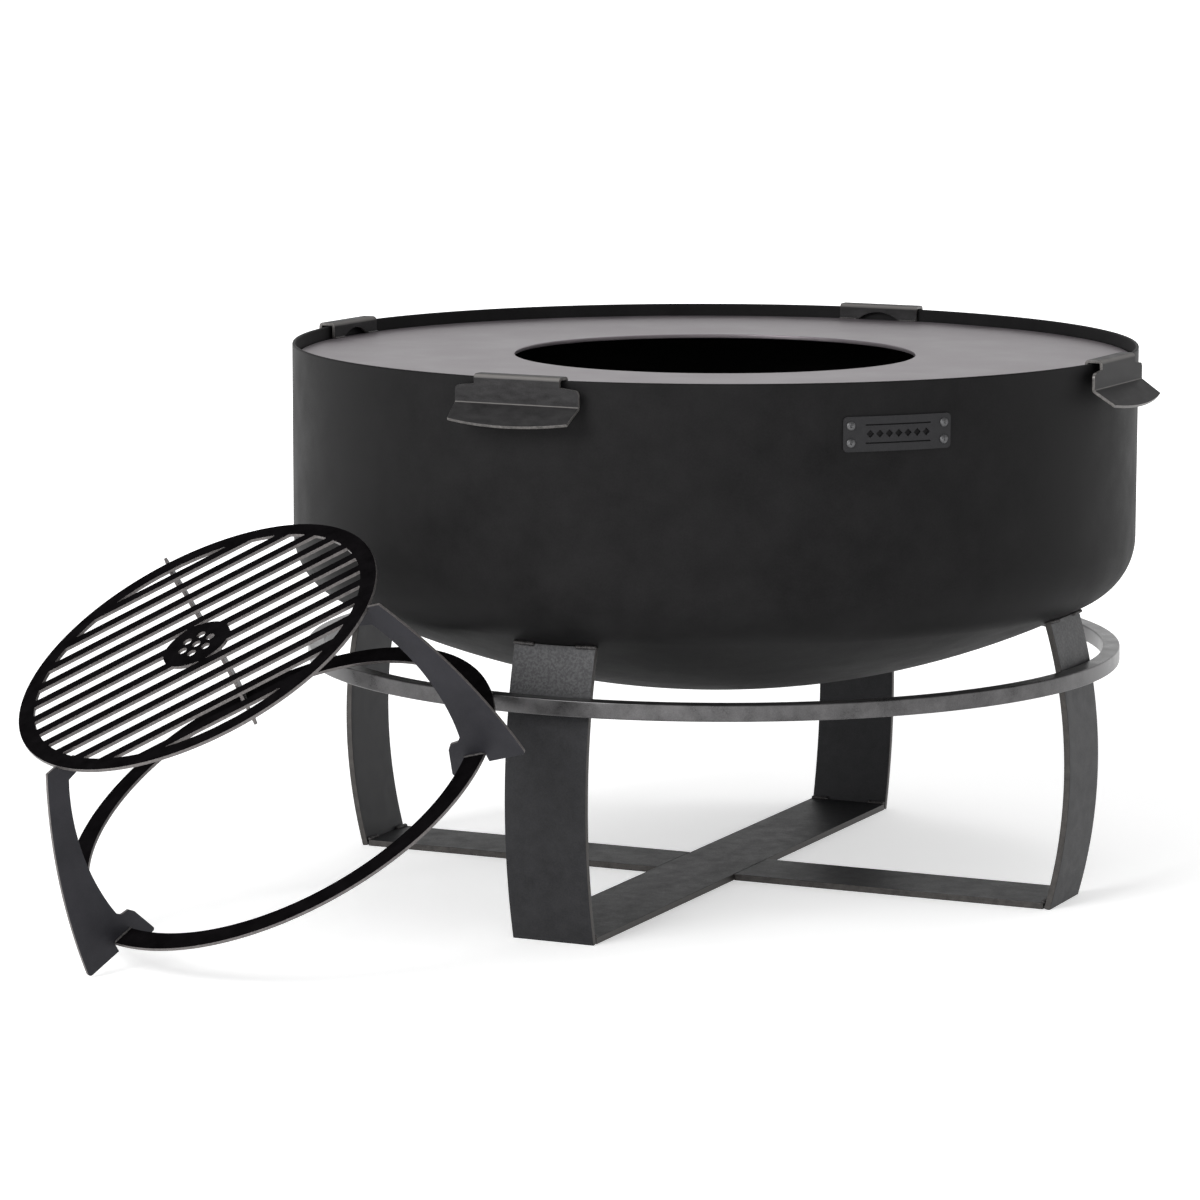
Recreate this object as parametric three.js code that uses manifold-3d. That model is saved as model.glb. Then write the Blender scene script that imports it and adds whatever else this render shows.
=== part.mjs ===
// Fire pit with a lift-off griddle and a separate cooking grate that leans on the stand.
// Millimetres, +Z up. The origin is on the floor, on the bowl's axis.
import * as THREE from "three";
import { mergeVertices } from "three/addons/utils/BufferGeometryUtils.js";
import Module from "manifold-3d";

const wasm = await Module();
wasm.setup();

// ---------------------------------------------------------------- driving dimensions
const GAP = 0.3; // between pieces that touch
const ROUND_STEPS = 72; // steps round the large turned pieces
const FINE_STEPS = 96; // round an edge that another sheet's cut follows
const EDGE_STEPS = 10; // along a bowed edge
const CORNER_STEPS = 4; // round a small corner
const HOLE_STEPS = 24; // round a small hole

const BOWL_R = 400; // outside of the wall
const BOWL_WALL = 3;
const RIM_Z = 511;
const KNUCKLE_Z = 331; // where the straight wall ends
const KNUCKLE_R = 62;
const CROWN_R = 792;
const CROWN_STEPS = 10;
const KNUCKLE_STEPS = 6;

const PLATE_T = 4; // griddle plate
const PLATE_DROP = 12; // its top lies this far below the rim
const PLATE_CLEARANCE = 2; // to the inside of the wall
const HOLE_R = 190;

const HANDLE_AZ = -115.2; // first handle, the others follow a quarter turn apart
const HANDLE_SHEET = 3;
const HANDLE_BEND_R = 2.5; // on the sheet's middle
const BEND_STEPS = 3;
const HANDLE_CLEARANCE = 4.5; // from the wall to the outer flange
const NECK_HALF = 42.2; // inner flange and bridge
const FLANGE_HALF = 60.9; // outer flange
const FLANGE_DROP = 23; // from the rim down to the lip's bend
const SHOULDER_DROP = 5.5;
const SHOULDER_SLOPE = 1.5;
const SHOULDER_R = 4.5;
const LIP_ANGLE = 33; // below level
const LIP_LENGTH = 23.6; // along the slope, at the lip's corners
const LIP_TAPER = 2;
const LIP_BULGE = 7; // of the lip's rounded end
const ARCH_HALF = 22;
const ARCH_RISE = 7.5;

const LEG_AZ = -113.4; // first leg, the others follow a quarter turn apart
const LEG_W = 80;
const LEG_T = 6;
const LEG_FOOT_R = 358.2; // outside of the leg at the floor
const LEG_BELLY_R = 375.8; // its furthest reach
const LEG_BELLY_Z = 128.4;
const LEG_STEPS = 18;

const BAR_T = 6; // floor bars, as wide as the legs

const STAND_RING_Z = 211; // underside
const STAND_RING_H = 15;
const STAND_RING_W = 15.6;

const TAG_AZ = -66.3;
const TAG_W = 104;
const TAG_H = 31;
const TAG_T = 1.2;
const TAG_Z = 465.5;
const TAG_CORNER_R = 4;
const RIVET_INSET = 7; // from the tag's ends
const RIVET_PITCH = 15; // up the tag
const RIVET_HEAD_R = 4;
const RIVET_HEAD_H = 2;
const RIVET_HEAD_STEPS = 3; // up the head's dome
const RIVET_SHANK_R = 2;
const RIVET_TAIL_R = 3.2;
const RIVET_TAIL_TIP_R = 2.24;
const RIVET_TAIL_H = 1.5;
const RIVET_HOLE_REACH = 20; // each way from the bowl's outside
const RIVET_STEPS = 12; // round a rivet

const GRATE_H = 179.2; // from the feet to the top of the disc
const DISC_R = 172.6;
const DISC_T = 3;
const DISC_RIM = 15;
const SLOT_W = 15.2;
const SLOT_PITCH = 25.8;
const SLOT_PAIRS = 6; // on each side of the middle slot
const HUB_R = 32;
const HUB_HOLE_R = 4.2; // one hole in the middle and a ring of them round it
const HUB_HOLES = 6;
const HUB_HOLES_R = 13.5;
const GRATE_RING_R = 209.6;
const GRATE_RING_W = 20.4;
const GRATE_RING_T = 3;
const GRATE_RING_Z = 6.6; // above the feet
const GRATE_LEG_T = 3;
const GRATE_LEG_TOP = 12; // reach past the disc
const GRATE_LEG_BULGE = 9; // of the leg's outer edge
const FOOT_REACH = 36.8; // past the ring
const TAB_WIDTH = 19;
const TAB_DROP = 8; // below the feet, into the griddle's hole
const TAB_PLAY = 0.5; // from the tab to the ring, beyond the usual gap
const TAB_TOP = 25;
const TAB_SLOPE_TOP = 20; // where the tab's inner edge meets its rounded top
const TAB_SLOPE_REACH = 9; // how far that edge leans outwards
const TAB_ROUND = 4;
const SHANK_FOOT_Z = 37; // where the shank's inner edge starts, above the tab
const SHANK_FOOT_IN = 6; // out from the ring's inner edge
const SHANK_HEAD_DROP = 22; // where it ends, below the disc
const SHELF_W = 20; // the leg's top, inwards under the disc
const SHELF_H = 13; // at its inner end
const SHELF_ROUND = 4; // between the shelf and the shank
const SHELF_ROOT_H = 15;

const LEAN_AZ = -137.4; // direction in which the grate stands off from the pit
const LEAN_TILT = 32;
const LEAN_SPIN = -91.7; // of the grate's first leg
const LEG_TURNS = [0, 120, 240]; // of its three legs

// ---------------------------------------------------------------- worked-out dimensions
const RAD = Math.PI / 180;
const BOWL_IN_R = BOWL_R - BOWL_WALL;
const FACET = Math.cos(Math.PI / ROUND_STEPS); // how near a facet's middle comes to its radius
const BOWL_FACET_R = BOWL_IN_R * FACET;
const CROWN_Z = KNUCKLE_Z + Math.sqrt((CROWN_R - KNUCKLE_R) ** 2 - (BOWL_R - KNUCKLE_R) ** 2);
const PLATE_R = BOWL_IN_R - PLATE_CLEARANCE;
const PLATE_Z = RIM_Z - PLATE_DROP;
const LEG_BOW = LEG_BELLY_R - LEG_FOOT_R;
const LEG_ARC_R = (LEG_BOW ** 2 + LEG_BELLY_Z ** 2) / (2 * LEG_BOW);
const DISC_Z = GRATE_H - DISC_T;
const FOOT_R = GRATE_RING_R + FOOT_REACH;
const GRATE_RING_IN_R = GRATE_RING_R - GRATE_RING_W;
const WAIST_R = DISC_R + 1; // inner edge of a grate leg's top
const SHELF_IN = WAIST_R - SHELF_W;
const STEEL = { color: 0x2b2b2d, roughness: 0.55, metalness: 0.6 };
const GRIDDLE_STEEL = { color: 0x8f8a8e, roughness: 0.35, metalness: 0.9 };
const HANDLE_STEEL = { color: 0x3a393b, roughness: 0.45, metalness: 0.8 };
const TAG_STEEL = { color: 0x9a9a9c, roughness: 0.35, metalness: 0.9 };
const GRATE_STEEL = { color: 0x262528, roughness: 0.5, metalness: 0.7 };

// How far the leg's outer face, set in by inset, stands from the bowl's axis at a height.
function legReach(z, inset = 0) {
  return LEG_BELLY_R - LEG_ARC_R + Math.sqrt((LEG_ARC_R - inset) ** 2 - (z - LEG_BELLY_Z) ** 2);
}
const STAND_RING_TOP = STAND_RING_Z + STAND_RING_H;
const STAND_RING_IN_R = (Math.hypot(legReach(STAND_RING_Z), LEG_W / 2) + GAP) / FACET;
const STAND_RING_R = STAND_RING_IN_R + STAND_RING_W;
const BAR_HALF = legReach(0, LEG_T) - GAP;

// ---------------------------------------------------------------- solids
function solid(geometry) {
  const bare = new THREE.BufferGeometry();
  bare.setAttribute("position", geometry.getAttribute("position"));
  bare.setIndex(geometry.index);
  const merged = mergeVertices(bare, 1e-4);
  return new wasm.Manifold(
    new wasm.Mesh({
      numProp: 3,
      vertProperties: merged.attributes.position.array,
      triVerts: new Uint32Array(merged.index.array),
    }),
  );
}

function geometryOf(manifold) {
  const mesh = manifold.getMesh();
  const geometry = new THREE.BufferGeometry();
  geometry.setAttribute("position", new THREE.BufferAttribute(mesh.vertProperties, 3));
  geometry.setIndex(new THREE.BufferAttribute(mesh.triVerts, 1));
  return geometry;
}

// Turns a closed outline of [radius, height] pairs about the +Z axis.
function turned(outline, steps = ROUND_STEPS) {
  const points = outline.map(([r, z]) => new THREE.Vector2(r, z));
  return new THREE.LatheGeometry(points, steps).rotateX(Math.PI / 2);
}

function turnedBand(inner, outer, low, high, steps = ROUND_STEPS) {
  const outline = [[inner, low], [outer, low], [outer, high], [inner, high], [inner, low]];
  return turned(outline, steps);
}

// Cuts a shape drawn in [x, y] from sheet of the given thickness, lying on z = 0.
function sheet(shape, thickness) {
  return new THREE.ExtrudeGeometry(shape, { depth: thickness, bevelEnabled: false });
}

// Stands a shape drawn in [radius, height] upright, centred on the XZ plane.
function upright(shape, thickness) {
  return sheet(shape, thickness).translate(0, 0, -thickness / 2).rotateX(Math.PI / 2);
}

function outlineShape(points) {
  return new THREE.Shape(points.map(([x, y]) => new THREE.Vector2(x, y)));
}

function arcPoints(cx, cy, radius, from, to, steps) {
  const points = [];
  for (let i = 0; i <= steps; i++) {
    const angle = from + ((to - from) * i) / steps;
    points.push([cx + radius * Math.cos(angle), cy + radius * Math.sin(angle)]);
  }
  return points;
}

// Points from one point to another along an arc that stands off its chord by bulge, to the left.
function bulgedEdge([x0, y0], [x1, y1], bulge, steps) {
  const chord = Math.hypot(x1 - x0, y1 - y0);
  const along = [(x1 - x0) / chord, (y1 - y0) / chord];
  const sag = Math.abs(bulge);
  const radius = (chord ** 2 / 4 + sag ** 2) / (2 * sag);
  const points = [];
  for (let i = 0; i <= steps; i++) {
    const s = (chord * i) / steps;
    const rise = Math.sign(bulge) * (Math.sqrt(radius ** 2 - (s - chord / 2) ** 2) - radius + sag);
    points.push([x0 + along[0] * s - along[1] * rise, y0 + along[1] * s + along[0] * rise]);
  }
  return points;
}

// Rounds each inner corner of an open line with an arc of the given radius.
function roundedLine(points, radius, steps) {
  const line = [points[0]];
  for (let i = 1; i < points.length - 1; i++) {
    const corner = new THREE.Vector2(...points[i]);
    const back = new THREE.Vector2(...points[i - 1]).sub(corner).normalize();
    const on = new THREE.Vector2(...points[i + 1]).sub(corner).normalize();
    const half = Math.acos(back.dot(on)) / 2;
    const inwards = back.clone().add(on).normalize();
    const centre = corner.clone().addScaledVector(inwards, radius / Math.sin(half));
    const start = corner.clone().addScaledVector(back, radius / Math.tan(half)).sub(centre);
    const turn = Math.sign(on.cross(back)) * (Math.PI - 2 * half);
    for (let k = 0; k <= steps; k++) {
      const arm = start.clone().rotateAround(new THREE.Vector2(), (turn * k) / steps);
      line.push([centre.x + arm.x, centre.y + arm.y]);
    }
  }
  line.push(points[points.length - 1]);
  return line;
}

// The closed outline of a sheet of the given thickness whose middle follows a line.
function thickened(line, thickness) {
  const sides = [[], []];
  line.forEach(([x, y], i) => {
    const before = line[Math.max(i - 1, 0)];
    const after = line[Math.min(i + 1, line.length - 1)];
    const into = new THREE.Vector2(x - before[0], y - before[1]).normalize();
    const out = new THREE.Vector2(after[0] - x, after[1] - y).normalize();
    const along = into.clone().add(out).normalize();
    const reach = thickness / 2 / Math.max(along.dot(out), along.dot(into));
    sides[0].push([x - along.y * reach, y + along.x * reach]);
    sides[1].unshift([x + along.y * reach, y - along.x * reach]);
  });
  return sides[0].concat(sides[1]);
}

function facing(manifold, azimuth) {
  return geometryOf(manifold).rotateZ(azimuth * RAD);
}

const pit = new THREE.Group();

function add(name, geometry, finish, group = pit) {
  const mesh = new THREE.Mesh(geometry, new THREE.MeshStandardMaterial(finish));
  mesh.name = name;
  group.add(mesh);
  return mesh;
}

// ---------------------------------------------------------------- bowl
// The dished base from the axis out to the foot of the wall, set in from the outside by inset.
function dishLine(inset) {
  const down = -Math.PI / 2;
  const turn = down + Math.atan2(BOWL_R - KNUCKLE_R, CROWN_Z - KNUCKLE_Z);
  const crown = arcPoints(0, CROWN_Z, CROWN_R - inset, down, turn, CROWN_STEPS);
  const knuckleR = KNUCKLE_R - inset;
  const knuckle = arcPoints(BOWL_R - KNUCKLE_R, KNUCKLE_Z, knuckleR, turn, 0, KNUCKLE_STEPS);
  crown[0][0] = 0;
  return [...crown, ...knuckle.slice(1)];
}

function bowlBase() {
  return turned([...dishLine(0), ...dishLine(BOWL_WALL).reverse()]);
}

const tagEnd = TAG_W / 2 - RIVET_INSET;
const rivetSpots = [];
for (const side of [-1, 1]) {
  for (const level of [-1, 1]) {
    rivetSpots.push([TAG_AZ + (side * tagEnd) / BOWL_R / RAD, TAG_Z + (level * RIVET_PITCH) / 2]);
  }
}

// A turned piece whose axis points away from the bowl, at an azimuth and a height.
function radialPiece(outline, azimuth, z, steps) {
  return turned(outline, steps).rotateY(Math.PI / 2).rotateZ(azimuth * RAD).translate(0, 0, z);
}

function rivetHole(azimuth, z) {
  const r = RIVET_SHANK_R + GAP;
  const from = BOWL_R - RIVET_HOLE_REACH;
  const to = BOWL_R + RIVET_HOLE_REACH;
  return solid(radialPiece([[0, from], [r, from], [r, to], [0, to]], azimuth, z, RIVET_STEPS));
}

function bowlWall() {
  let made = solid(turnedBand(BOWL_IN_R, BOWL_R, KNUCKLE_Z + GAP, RIM_Z));
  for (const [azimuth, z] of rivetSpots) {
    made = made.subtract(rivetHole(azimuth, z));
  }
  return geometryOf(made);
}

// ---------------------------------------------------------------- name tag and rivets
function roundedRectangle(width, height, radius) {
  const x = width / 2 - radius;
  const y = height / 2 - radius;
  const points = [
    ...arcPoints(x, y, radius, 0, Math.PI / 2, CORNER_STEPS),
    ...arcPoints(-x, y, radius, Math.PI / 2, Math.PI, CORNER_STEPS),
    ...arcPoints(-x, -y, radius, Math.PI, 1.5 * Math.PI, CORNER_STEPS),
    ...arcPoints(x, -y, radius, 1.5 * Math.PI, 2 * Math.PI, CORNER_STEPS),
  ];
  return outlineShape(points);
}

function nameTag() {
  const inner = BOWL_R + GAP;
  const wall = solid(turnedBand(inner, inner + TAG_T, TAG_Z - TAG_H, TAG_Z + TAG_H));
  const blank = sheet(roundedRectangle(TAG_H, TAG_W, TAG_CORNER_R), BOWL_R)
    .rotateY(Math.PI / 2)
    .translate(BOWL_R / 2, 0, 0);
  let made = wall.intersect(solid(blank.rotateZ(TAG_AZ * RAD).translate(0, 0, TAG_Z)));
  for (const [azimuth, z] of rivetSpots) {
    made = made.subtract(rivetHole(azimuth, z));
  }
  return geometryOf(made);
}

function rivet(azimuth, z) {
  const tail = BOWL_FACET_R - GAP;
  const head = BOWL_R + GAP + TAG_T + GAP;
  const outline = [[0, tail - RIVET_TAIL_H], [RIVET_TAIL_TIP_R, tail - RIVET_TAIL_H]];
  outline.push([RIVET_TAIL_R, tail], [RIVET_SHANK_R, tail], [RIVET_SHANK_R, head]);
  for (let step = 0; step < RIVET_HEAD_STEPS; step++) {
    const angle = (step / RIVET_HEAD_STEPS) * (Math.PI / 2);
    outline.push([RIVET_HEAD_R * Math.cos(angle), head + RIVET_HEAD_H * Math.sin(angle)]);
  }
  outline.push([0, head + RIVET_HEAD_H]);
  return radialPiece(outline, azimuth, z, RIVET_STEPS);
}

// ---------------------------------------------------------------- griddle and handles
// A handle hooks over the rim: its inner flange stands on the plate, its outer one ends in a lip.
function handle(azimuth) {
  const innerLine = Math.sqrt((BOWL_FACET_R - GAP) ** 2 - NECK_HALF ** 2) - HANDLE_BEND_R;
  const outerLine = BOWL_R + HANDLE_CLEARANCE + HANDLE_SHEET / 2;
  const bridgeZ = RIM_Z + GAP + HANDLE_SHEET / 2;
  const bendZ = RIM_Z - FLANGE_DROP;
  const slope = [Math.cos(LIP_ANGLE * RAD), -Math.sin(LIP_ANGLE * RAD)];
  const lipEnd = LIP_LENGTH + LIP_BULGE * 2;
  const line = roundedLine(
    [
      [innerLine, PLATE_Z + GAP],
      [innerLine, bridgeZ],
      [outerLine, bridgeZ],
      [outerLine, bendZ],
      [outerLine + slope[0] * lipEnd, bendZ + slope[1] * lipEnd],
    ],
    HANDLE_BEND_R,
    BEND_STEPS,
  );
  const bent = solid(upright(outlineShape(thickened(line, HANDLE_SHEET)), 4 * FLANGE_HALF));

  const neckEnd = (innerLine + outerLine) / 2;
  const bendX = outerLine + HANDLE_SHEET;
  const cornerX = outerLine + slope[0] * LIP_LENGTH;
  const lipHalf = FLANGE_HALF - LIP_TAPER;
  const end = bulgedEdge([cornerX, lipHalf], [cornerX, -lipHalf], LIP_BULGE, EDGE_STEPS);
  const plan = [
    [0, -NECK_HALF],
    [neckEnd, -NECK_HALF],
    [neckEnd, -FLANGE_HALF],
    [bendX, -FLANGE_HALF],
    ...end.reverse(),
    [bendX, FLANGE_HALF],
    [neckEnd, FLANGE_HALF],
    [neckEnd, NECK_HALF],
    [0, NECK_HALF],
  ];
  const planned = solid(sheet(outlineShape(plan), RIM_Z).translate(0, 0, RIM_Z / 2));

  const shoulderZ = RIM_Z - SHOULDER_DROP;
  const sideZ = shoulderZ - SHOULDER_SLOPE - SHOULDER_R;
  const sideX = FLANGE_HALF - SHOULDER_R;
  const shoulder = arcPoints(sideX, sideZ, SHOULDER_R, 0, Math.PI / 2, CORNER_STEPS);
  const right = [[FLANGE_HALF, 0], ...shoulder, [NECK_HALF, shoulderZ], [NECK_HALF, 2 * RIM_Z]];
  const left = right.map(([x, z]) => [-x, z]).reverse();
  const face = upright(outlineShape([...right, ...left]), 4 * BOWL_R).rotateZ(Math.PI / 2);

  const archR = (ARCH_HALF ** 2 + ARCH_RISE ** 2) / (2 * ARCH_RISE);
  const archOutline = [[0, 0], [archR, 0], [archR, neckEnd], [0, neckEnd]];
  const arch = turned(archOutline, FINE_STEPS).rotateY(Math.PI / 2);
  arch.translate(0, 0, PLATE_Z + ARCH_RISE - archR);

  const cut = bent.intersect(planned).intersect(solid(face)).subtract(solid(arch));
  return facing(cut, azimuth);
}

// ---------------------------------------------------------------- stand
// A flat bar bowed outwards, cut at the top to the underside of the bowl.
function leg(azimuth) {
  const top = KNUCKLE_Z - KNUCKLE_R + LEG_T;
  const outer = [];
  const inner = [];
  for (let i = 0; i <= LEG_STEPS; i++) {
    const z = (top * i) / LEG_STEPS;
    outer.push([legReach(z), z]);
    inner.unshift([legReach(z, LEG_T), z]);
  }
  const bar = solid(upright(outlineShape([...outer, ...inner]), LEG_W));
  const filledBowl = solid(turned([...dishLine(-GAP), [0, KNUCKLE_Z]]));
  return facing(bar.subtract(filledBowl), azimuth);
}

function floorBar(from, to, azimuth) {
  const bar = new THREE.BoxGeometry(to - from, LEG_W, BAR_T);
  return bar.translate((from + to) / 2, 0, BAR_T / 2).rotateZ(azimuth * RAD);
}

// ---------------------------------------------------------------- grate
function grateDisc() {
  const slot = new THREE.BoxGeometry(2 * DISC_R, SLOT_W, 2 * DISC_T);
  let slots = solid(slot.clone().translate(0, 0, DISC_Z));
  for (let k = 1; k <= SLOT_PAIRS; k++) {
    slots = slots.add(solid(slot.clone().translate(0, k * SLOT_PITCH, DISC_Z)));
    slots = slots.add(solid(slot.clone().translate(0, -k * SLOT_PITCH, DISC_Z)));
  }
  const slotted = solid(turnedBand(HUB_R, DISC_R - DISC_RIM, DISC_Z - DISC_T, GRATE_H + DISC_T));
  const blank = solid(turned([[0, DISC_Z], [DISC_R, DISC_Z], [DISC_R, GRATE_H], [0, GRATE_H]]));
  let disc = blank.subtract(slots.intersect(slotted));
  const hole = new THREE.CylinderGeometry(HUB_HOLE_R, HUB_HOLE_R, 4 * DISC_T, HOLE_STEPS)
    .rotateX(Math.PI / 2)
    .translate(0, 0, DISC_Z);
  disc = disc.subtract(solid(hole));
  for (let i = 0; i < HUB_HOLES; i++) {
    const around = hole.clone().translate(HUB_HOLES_R, 0, 0);
    disc = disc.subtract(solid(around.rotateZ((2 * Math.PI * i) / HUB_HOLES)));
  }
  return geometryOf(disc);
}

// A plate standing edge-on to the axis: a shelf under the disc, a bowed shank, a foot, a notch
// over the ring and a tab that drops into the griddle's hole.
function grateLeg(azimuth) {
  const topOut = DISC_R + GRATE_LEG_TOP;
  const outerEdge = bulgedEdge([topOut, GRATE_H], [FOOT_R, 0], GRATE_LEG_BULGE, EDGE_STEPS);
  const shankFoot = [GRATE_RING_IN_R + SHANK_FOOT_IN, SHANK_FOOT_Z];
  const shankHead = [WAIST_R, DISC_Z - SHANK_HEAD_DROP];
  const innerEdge = bulgedEdge(shankFoot, shankHead, -GRATE_LEG_BULGE, EDGE_STEPS);

  const notchOut = GRATE_RING_R + GAP;
  const notchTop = GRATE_RING_Z + GRATE_RING_T + GAP;
  const tabOut = GRATE_RING_IN_R - GAP - TAB_PLAY;
  const tabIn = tabOut - TAB_WIDTH;
  const tabSlopeX = tabIn + TAB_SLOPE_REACH;
  const discSide = DISC_R + 2 * GAP;
  const outline = [
    [discSide, GRATE_H],
    ...outerEdge,
    [notchOut, 0],
    [notchOut, notchTop],
    [tabOut, notchTop],
    [tabOut, -TAB_DROP],
    [tabIn, -TAB_DROP],
    [tabSlopeX, TAB_SLOPE_TOP],
    [tabSlopeX + TAB_ROUND, TAB_TOP],
    [shankFoot[0] - TAB_ROUND, TAB_TOP],
    [shankFoot[0], TAB_TOP + TAB_ROUND],
    ...innerEdge,
    [WAIST_R - SHELF_ROUND, DISC_Z - SHELF_ROOT_H],
    [SHELF_IN, DISC_Z - SHELF_H],
    [SHELF_IN, DISC_Z - GAP],
    [discSide, DISC_Z - GAP],
  ];
  return upright(outlineShape(outline.reverse()), GRATE_LEG_T).rotateZ(azimuth * RAD);
}

// The height of the base's centre at which the lowest foot stands on the floor.
function baseHeight() {
  const side = LEG_TURNS.map((turn) => -Math.sin((LEAN_SPIN + turn) * RAD));
  return Math.max(...side) * FOOT_R * Math.sin(LEAN_TILT * RAD) + GAP;
}

// All pieces of a group as one solid, in the group's own surroundings.
function gathered(group) {
  group.updateMatrixWorld(true);
  const solids = [];
  group.traverse((piece) => {
    if (piece.isMesh) {
      solids.push(solid(piece.geometry.clone().applyMatrix4(piece.matrixWorld)));
    }
  });
  return wasm.Manifold.union(solids);
}

// Slides the tilted grate in towards the pit until the first of its pieces rests on it.
function leanDistance(leaning, still) {
  const x = Math.cos(LEAN_AZ * RAD);
  const y = Math.sin(LEAN_AZ * RAD);
  let touching = 0;
  let free = 3 * BOWL_R;
  while (free - touching > GAP / 10) {
    const middle = (free + touching) / 2;
    if (leaning.translate([x * middle, y * middle, 0]).minGap(still, 2 * GAP) < GAP) {
      touching = middle;
    } else {
      free = middle;
    }
  }
  return free;
}

// ---------------------------------------------------------------- assembly
add("bowl_base", bowlBase(), STEEL);
add("bowl_wall", bowlWall(), STEEL);
add("name_tag", nameTag(), TAG_STEEL);
rivetSpots.forEach(([azimuth, z], i) => {
  add(`tag_rivet_${i + 1}`, rivet(azimuth, z), TAG_STEEL);
});

add("griddle_plate", turnedBand(HOLE_R, PLATE_R, PLATE_Z - PLATE_T, PLATE_Z), GRIDDLE_STEEL);
["front_left", "front_right", "back_right", "back_left"].forEach((place, i) => {
  add(`handle_${place}`, handle(HANDLE_AZ + 90 * i), HANDLE_STEEL);
  add(`leg_${place}`, leg(LEG_AZ + 90 * i), STEEL);
});

add("stand_ring", turnedBand(STAND_RING_IN_R, STAND_RING_R, STAND_RING_Z, STAND_RING_TOP), STEEL);
add("floor_bar_long", floorBar(-BAR_HALF, BAR_HALF, LEG_AZ), STEEL);
add("floor_bar_right", floorBar(LEG_W / 2 + GAP, BAR_HALF, LEG_AZ + 90), STEEL);
add("floor_bar_left", floorBar(LEG_W / 2 + GAP, BAR_HALF, LEG_AZ - 90), STEEL);

// The grate is made in a frame of its own: its axis along +Z, its feet on z = 0. The slots run
// square to its third leg. That frame is tilted outwards and moved up against the stand.
const grate = new THREE.Group();
const slotTurn = new THREE.Group();
slotTurn.rotation.z = (LEAN_SPIN + LEG_TURNS[2] - 90) * RAD;
add("grate_disc", grateDisc(), GRATE_STEEL, slotTurn);
grate.add(slotTurn);
const ringHigh = GRATE_RING_Z + GRATE_RING_T;
const ringBand = turnedBand(GRATE_RING_IN_R, GRATE_RING_R, GRATE_RING_Z, ringHigh, FINE_STEPS);
add("grate_ring", ringBand, GRATE_STEEL, grate);
LEG_TURNS.forEach((turn, i) => {
  add(`grate_leg_${i + 1}`, grateLeg(LEAN_SPIN + turn), GRATE_STEEL, grate);
});
grate.rotation.set(LEAN_TILT * RAD, 0, (LEAN_AZ + 90) * RAD, "ZXY");
grate.position.z = baseHeight();
const leanOut = leanDistance(gathered(grate), gathered(pit));
grate.position.x = leanOut * Math.cos(LEAN_AZ * RAD);
grate.position.y = leanOut * Math.sin(LEAN_AZ * RAD);
pit.add(grate);

export default pit;
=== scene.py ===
"""A steel fire pit with a lift-off griddle and a cooking grate that leans on its stand.

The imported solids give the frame. Each sub-assembly is a class that models its pieces over its own
solids, gives them their finishes and hangs them on the body that they move with. Pieces are drawn
in millimetres and scaled to the frame's metres as they are placed.
"""

import logging
import math
import random
from dataclasses import dataclass, field
from enum import Enum
from typing import Iterable, Sequence

import bmesh
import bpy
from bmesh.types import BMesh, BMVert
from bpy.types import Material, Node, NodeSocket, Object, World
from mathutils import Matrix, Vector


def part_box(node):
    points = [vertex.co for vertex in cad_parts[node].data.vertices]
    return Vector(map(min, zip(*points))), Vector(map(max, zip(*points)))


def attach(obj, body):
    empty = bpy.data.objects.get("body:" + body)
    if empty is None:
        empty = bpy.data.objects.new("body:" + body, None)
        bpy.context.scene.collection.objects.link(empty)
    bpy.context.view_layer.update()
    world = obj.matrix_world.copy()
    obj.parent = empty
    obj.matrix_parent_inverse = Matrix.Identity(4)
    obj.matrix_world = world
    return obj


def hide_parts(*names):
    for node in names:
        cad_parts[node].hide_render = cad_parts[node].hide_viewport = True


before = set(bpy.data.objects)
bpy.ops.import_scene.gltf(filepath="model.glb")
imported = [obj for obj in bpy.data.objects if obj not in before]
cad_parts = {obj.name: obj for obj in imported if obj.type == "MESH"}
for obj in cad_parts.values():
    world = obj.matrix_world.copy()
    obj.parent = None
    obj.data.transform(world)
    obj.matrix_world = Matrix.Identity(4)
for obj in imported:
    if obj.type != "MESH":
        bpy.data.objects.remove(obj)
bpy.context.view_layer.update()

LOG = logging.getLogger("fire_pit")
MM = 0.001
FULL_TURN = 2 * math.pi
STRAIGHT = math.radians(78)  # half of a corner's angle from which it is left sharp
CORNER_ROOM = 2.1  # an edge's length over the longest rounding at its end
SAME_PLACE = 0.002  # millimetres between points that are merged
CUT_NEAR = 0.0001  # millimetres from a cut at which a point counts as on it
SHARP = math.radians(40)  # the least turn of an edge that is broken
FACE_WEIGHT = 90  # how much a large face outweighs a small one in the shading
SIDES = ((-1, "right"), (1, "left"))
WHITE = (1.0, 1.0, 1.0, 1.0)

Point = tuple[float, float]
Place = tuple[float, float, float]
Colour = tuple[float, float, float]
Row = tuple[float, float, float, float]


class Body(Enum):
    """The bodies that pieces ride on."""

    PIT = "pit"
    GRIDDLE = "griddle"
    GRATE = "grate"


class Corner(Enum):
    """The four places round the pit that legs and handles share, a quarter turn apart."""

    FRONT_LEFT = 0
    FRONT_RIGHT = 1
    BACK_RIGHT = 2
    BACK_LEFT = 3

    @property
    def label(self) -> str:
        """The corner's name in lower case, as the nodes have it."""
        return self.name.lower()

    def azimuth(self, first: float) -> float:
        """The corner's direction in degrees, counted from the first corner's."""
        return first + 90.0 * self.value


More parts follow.
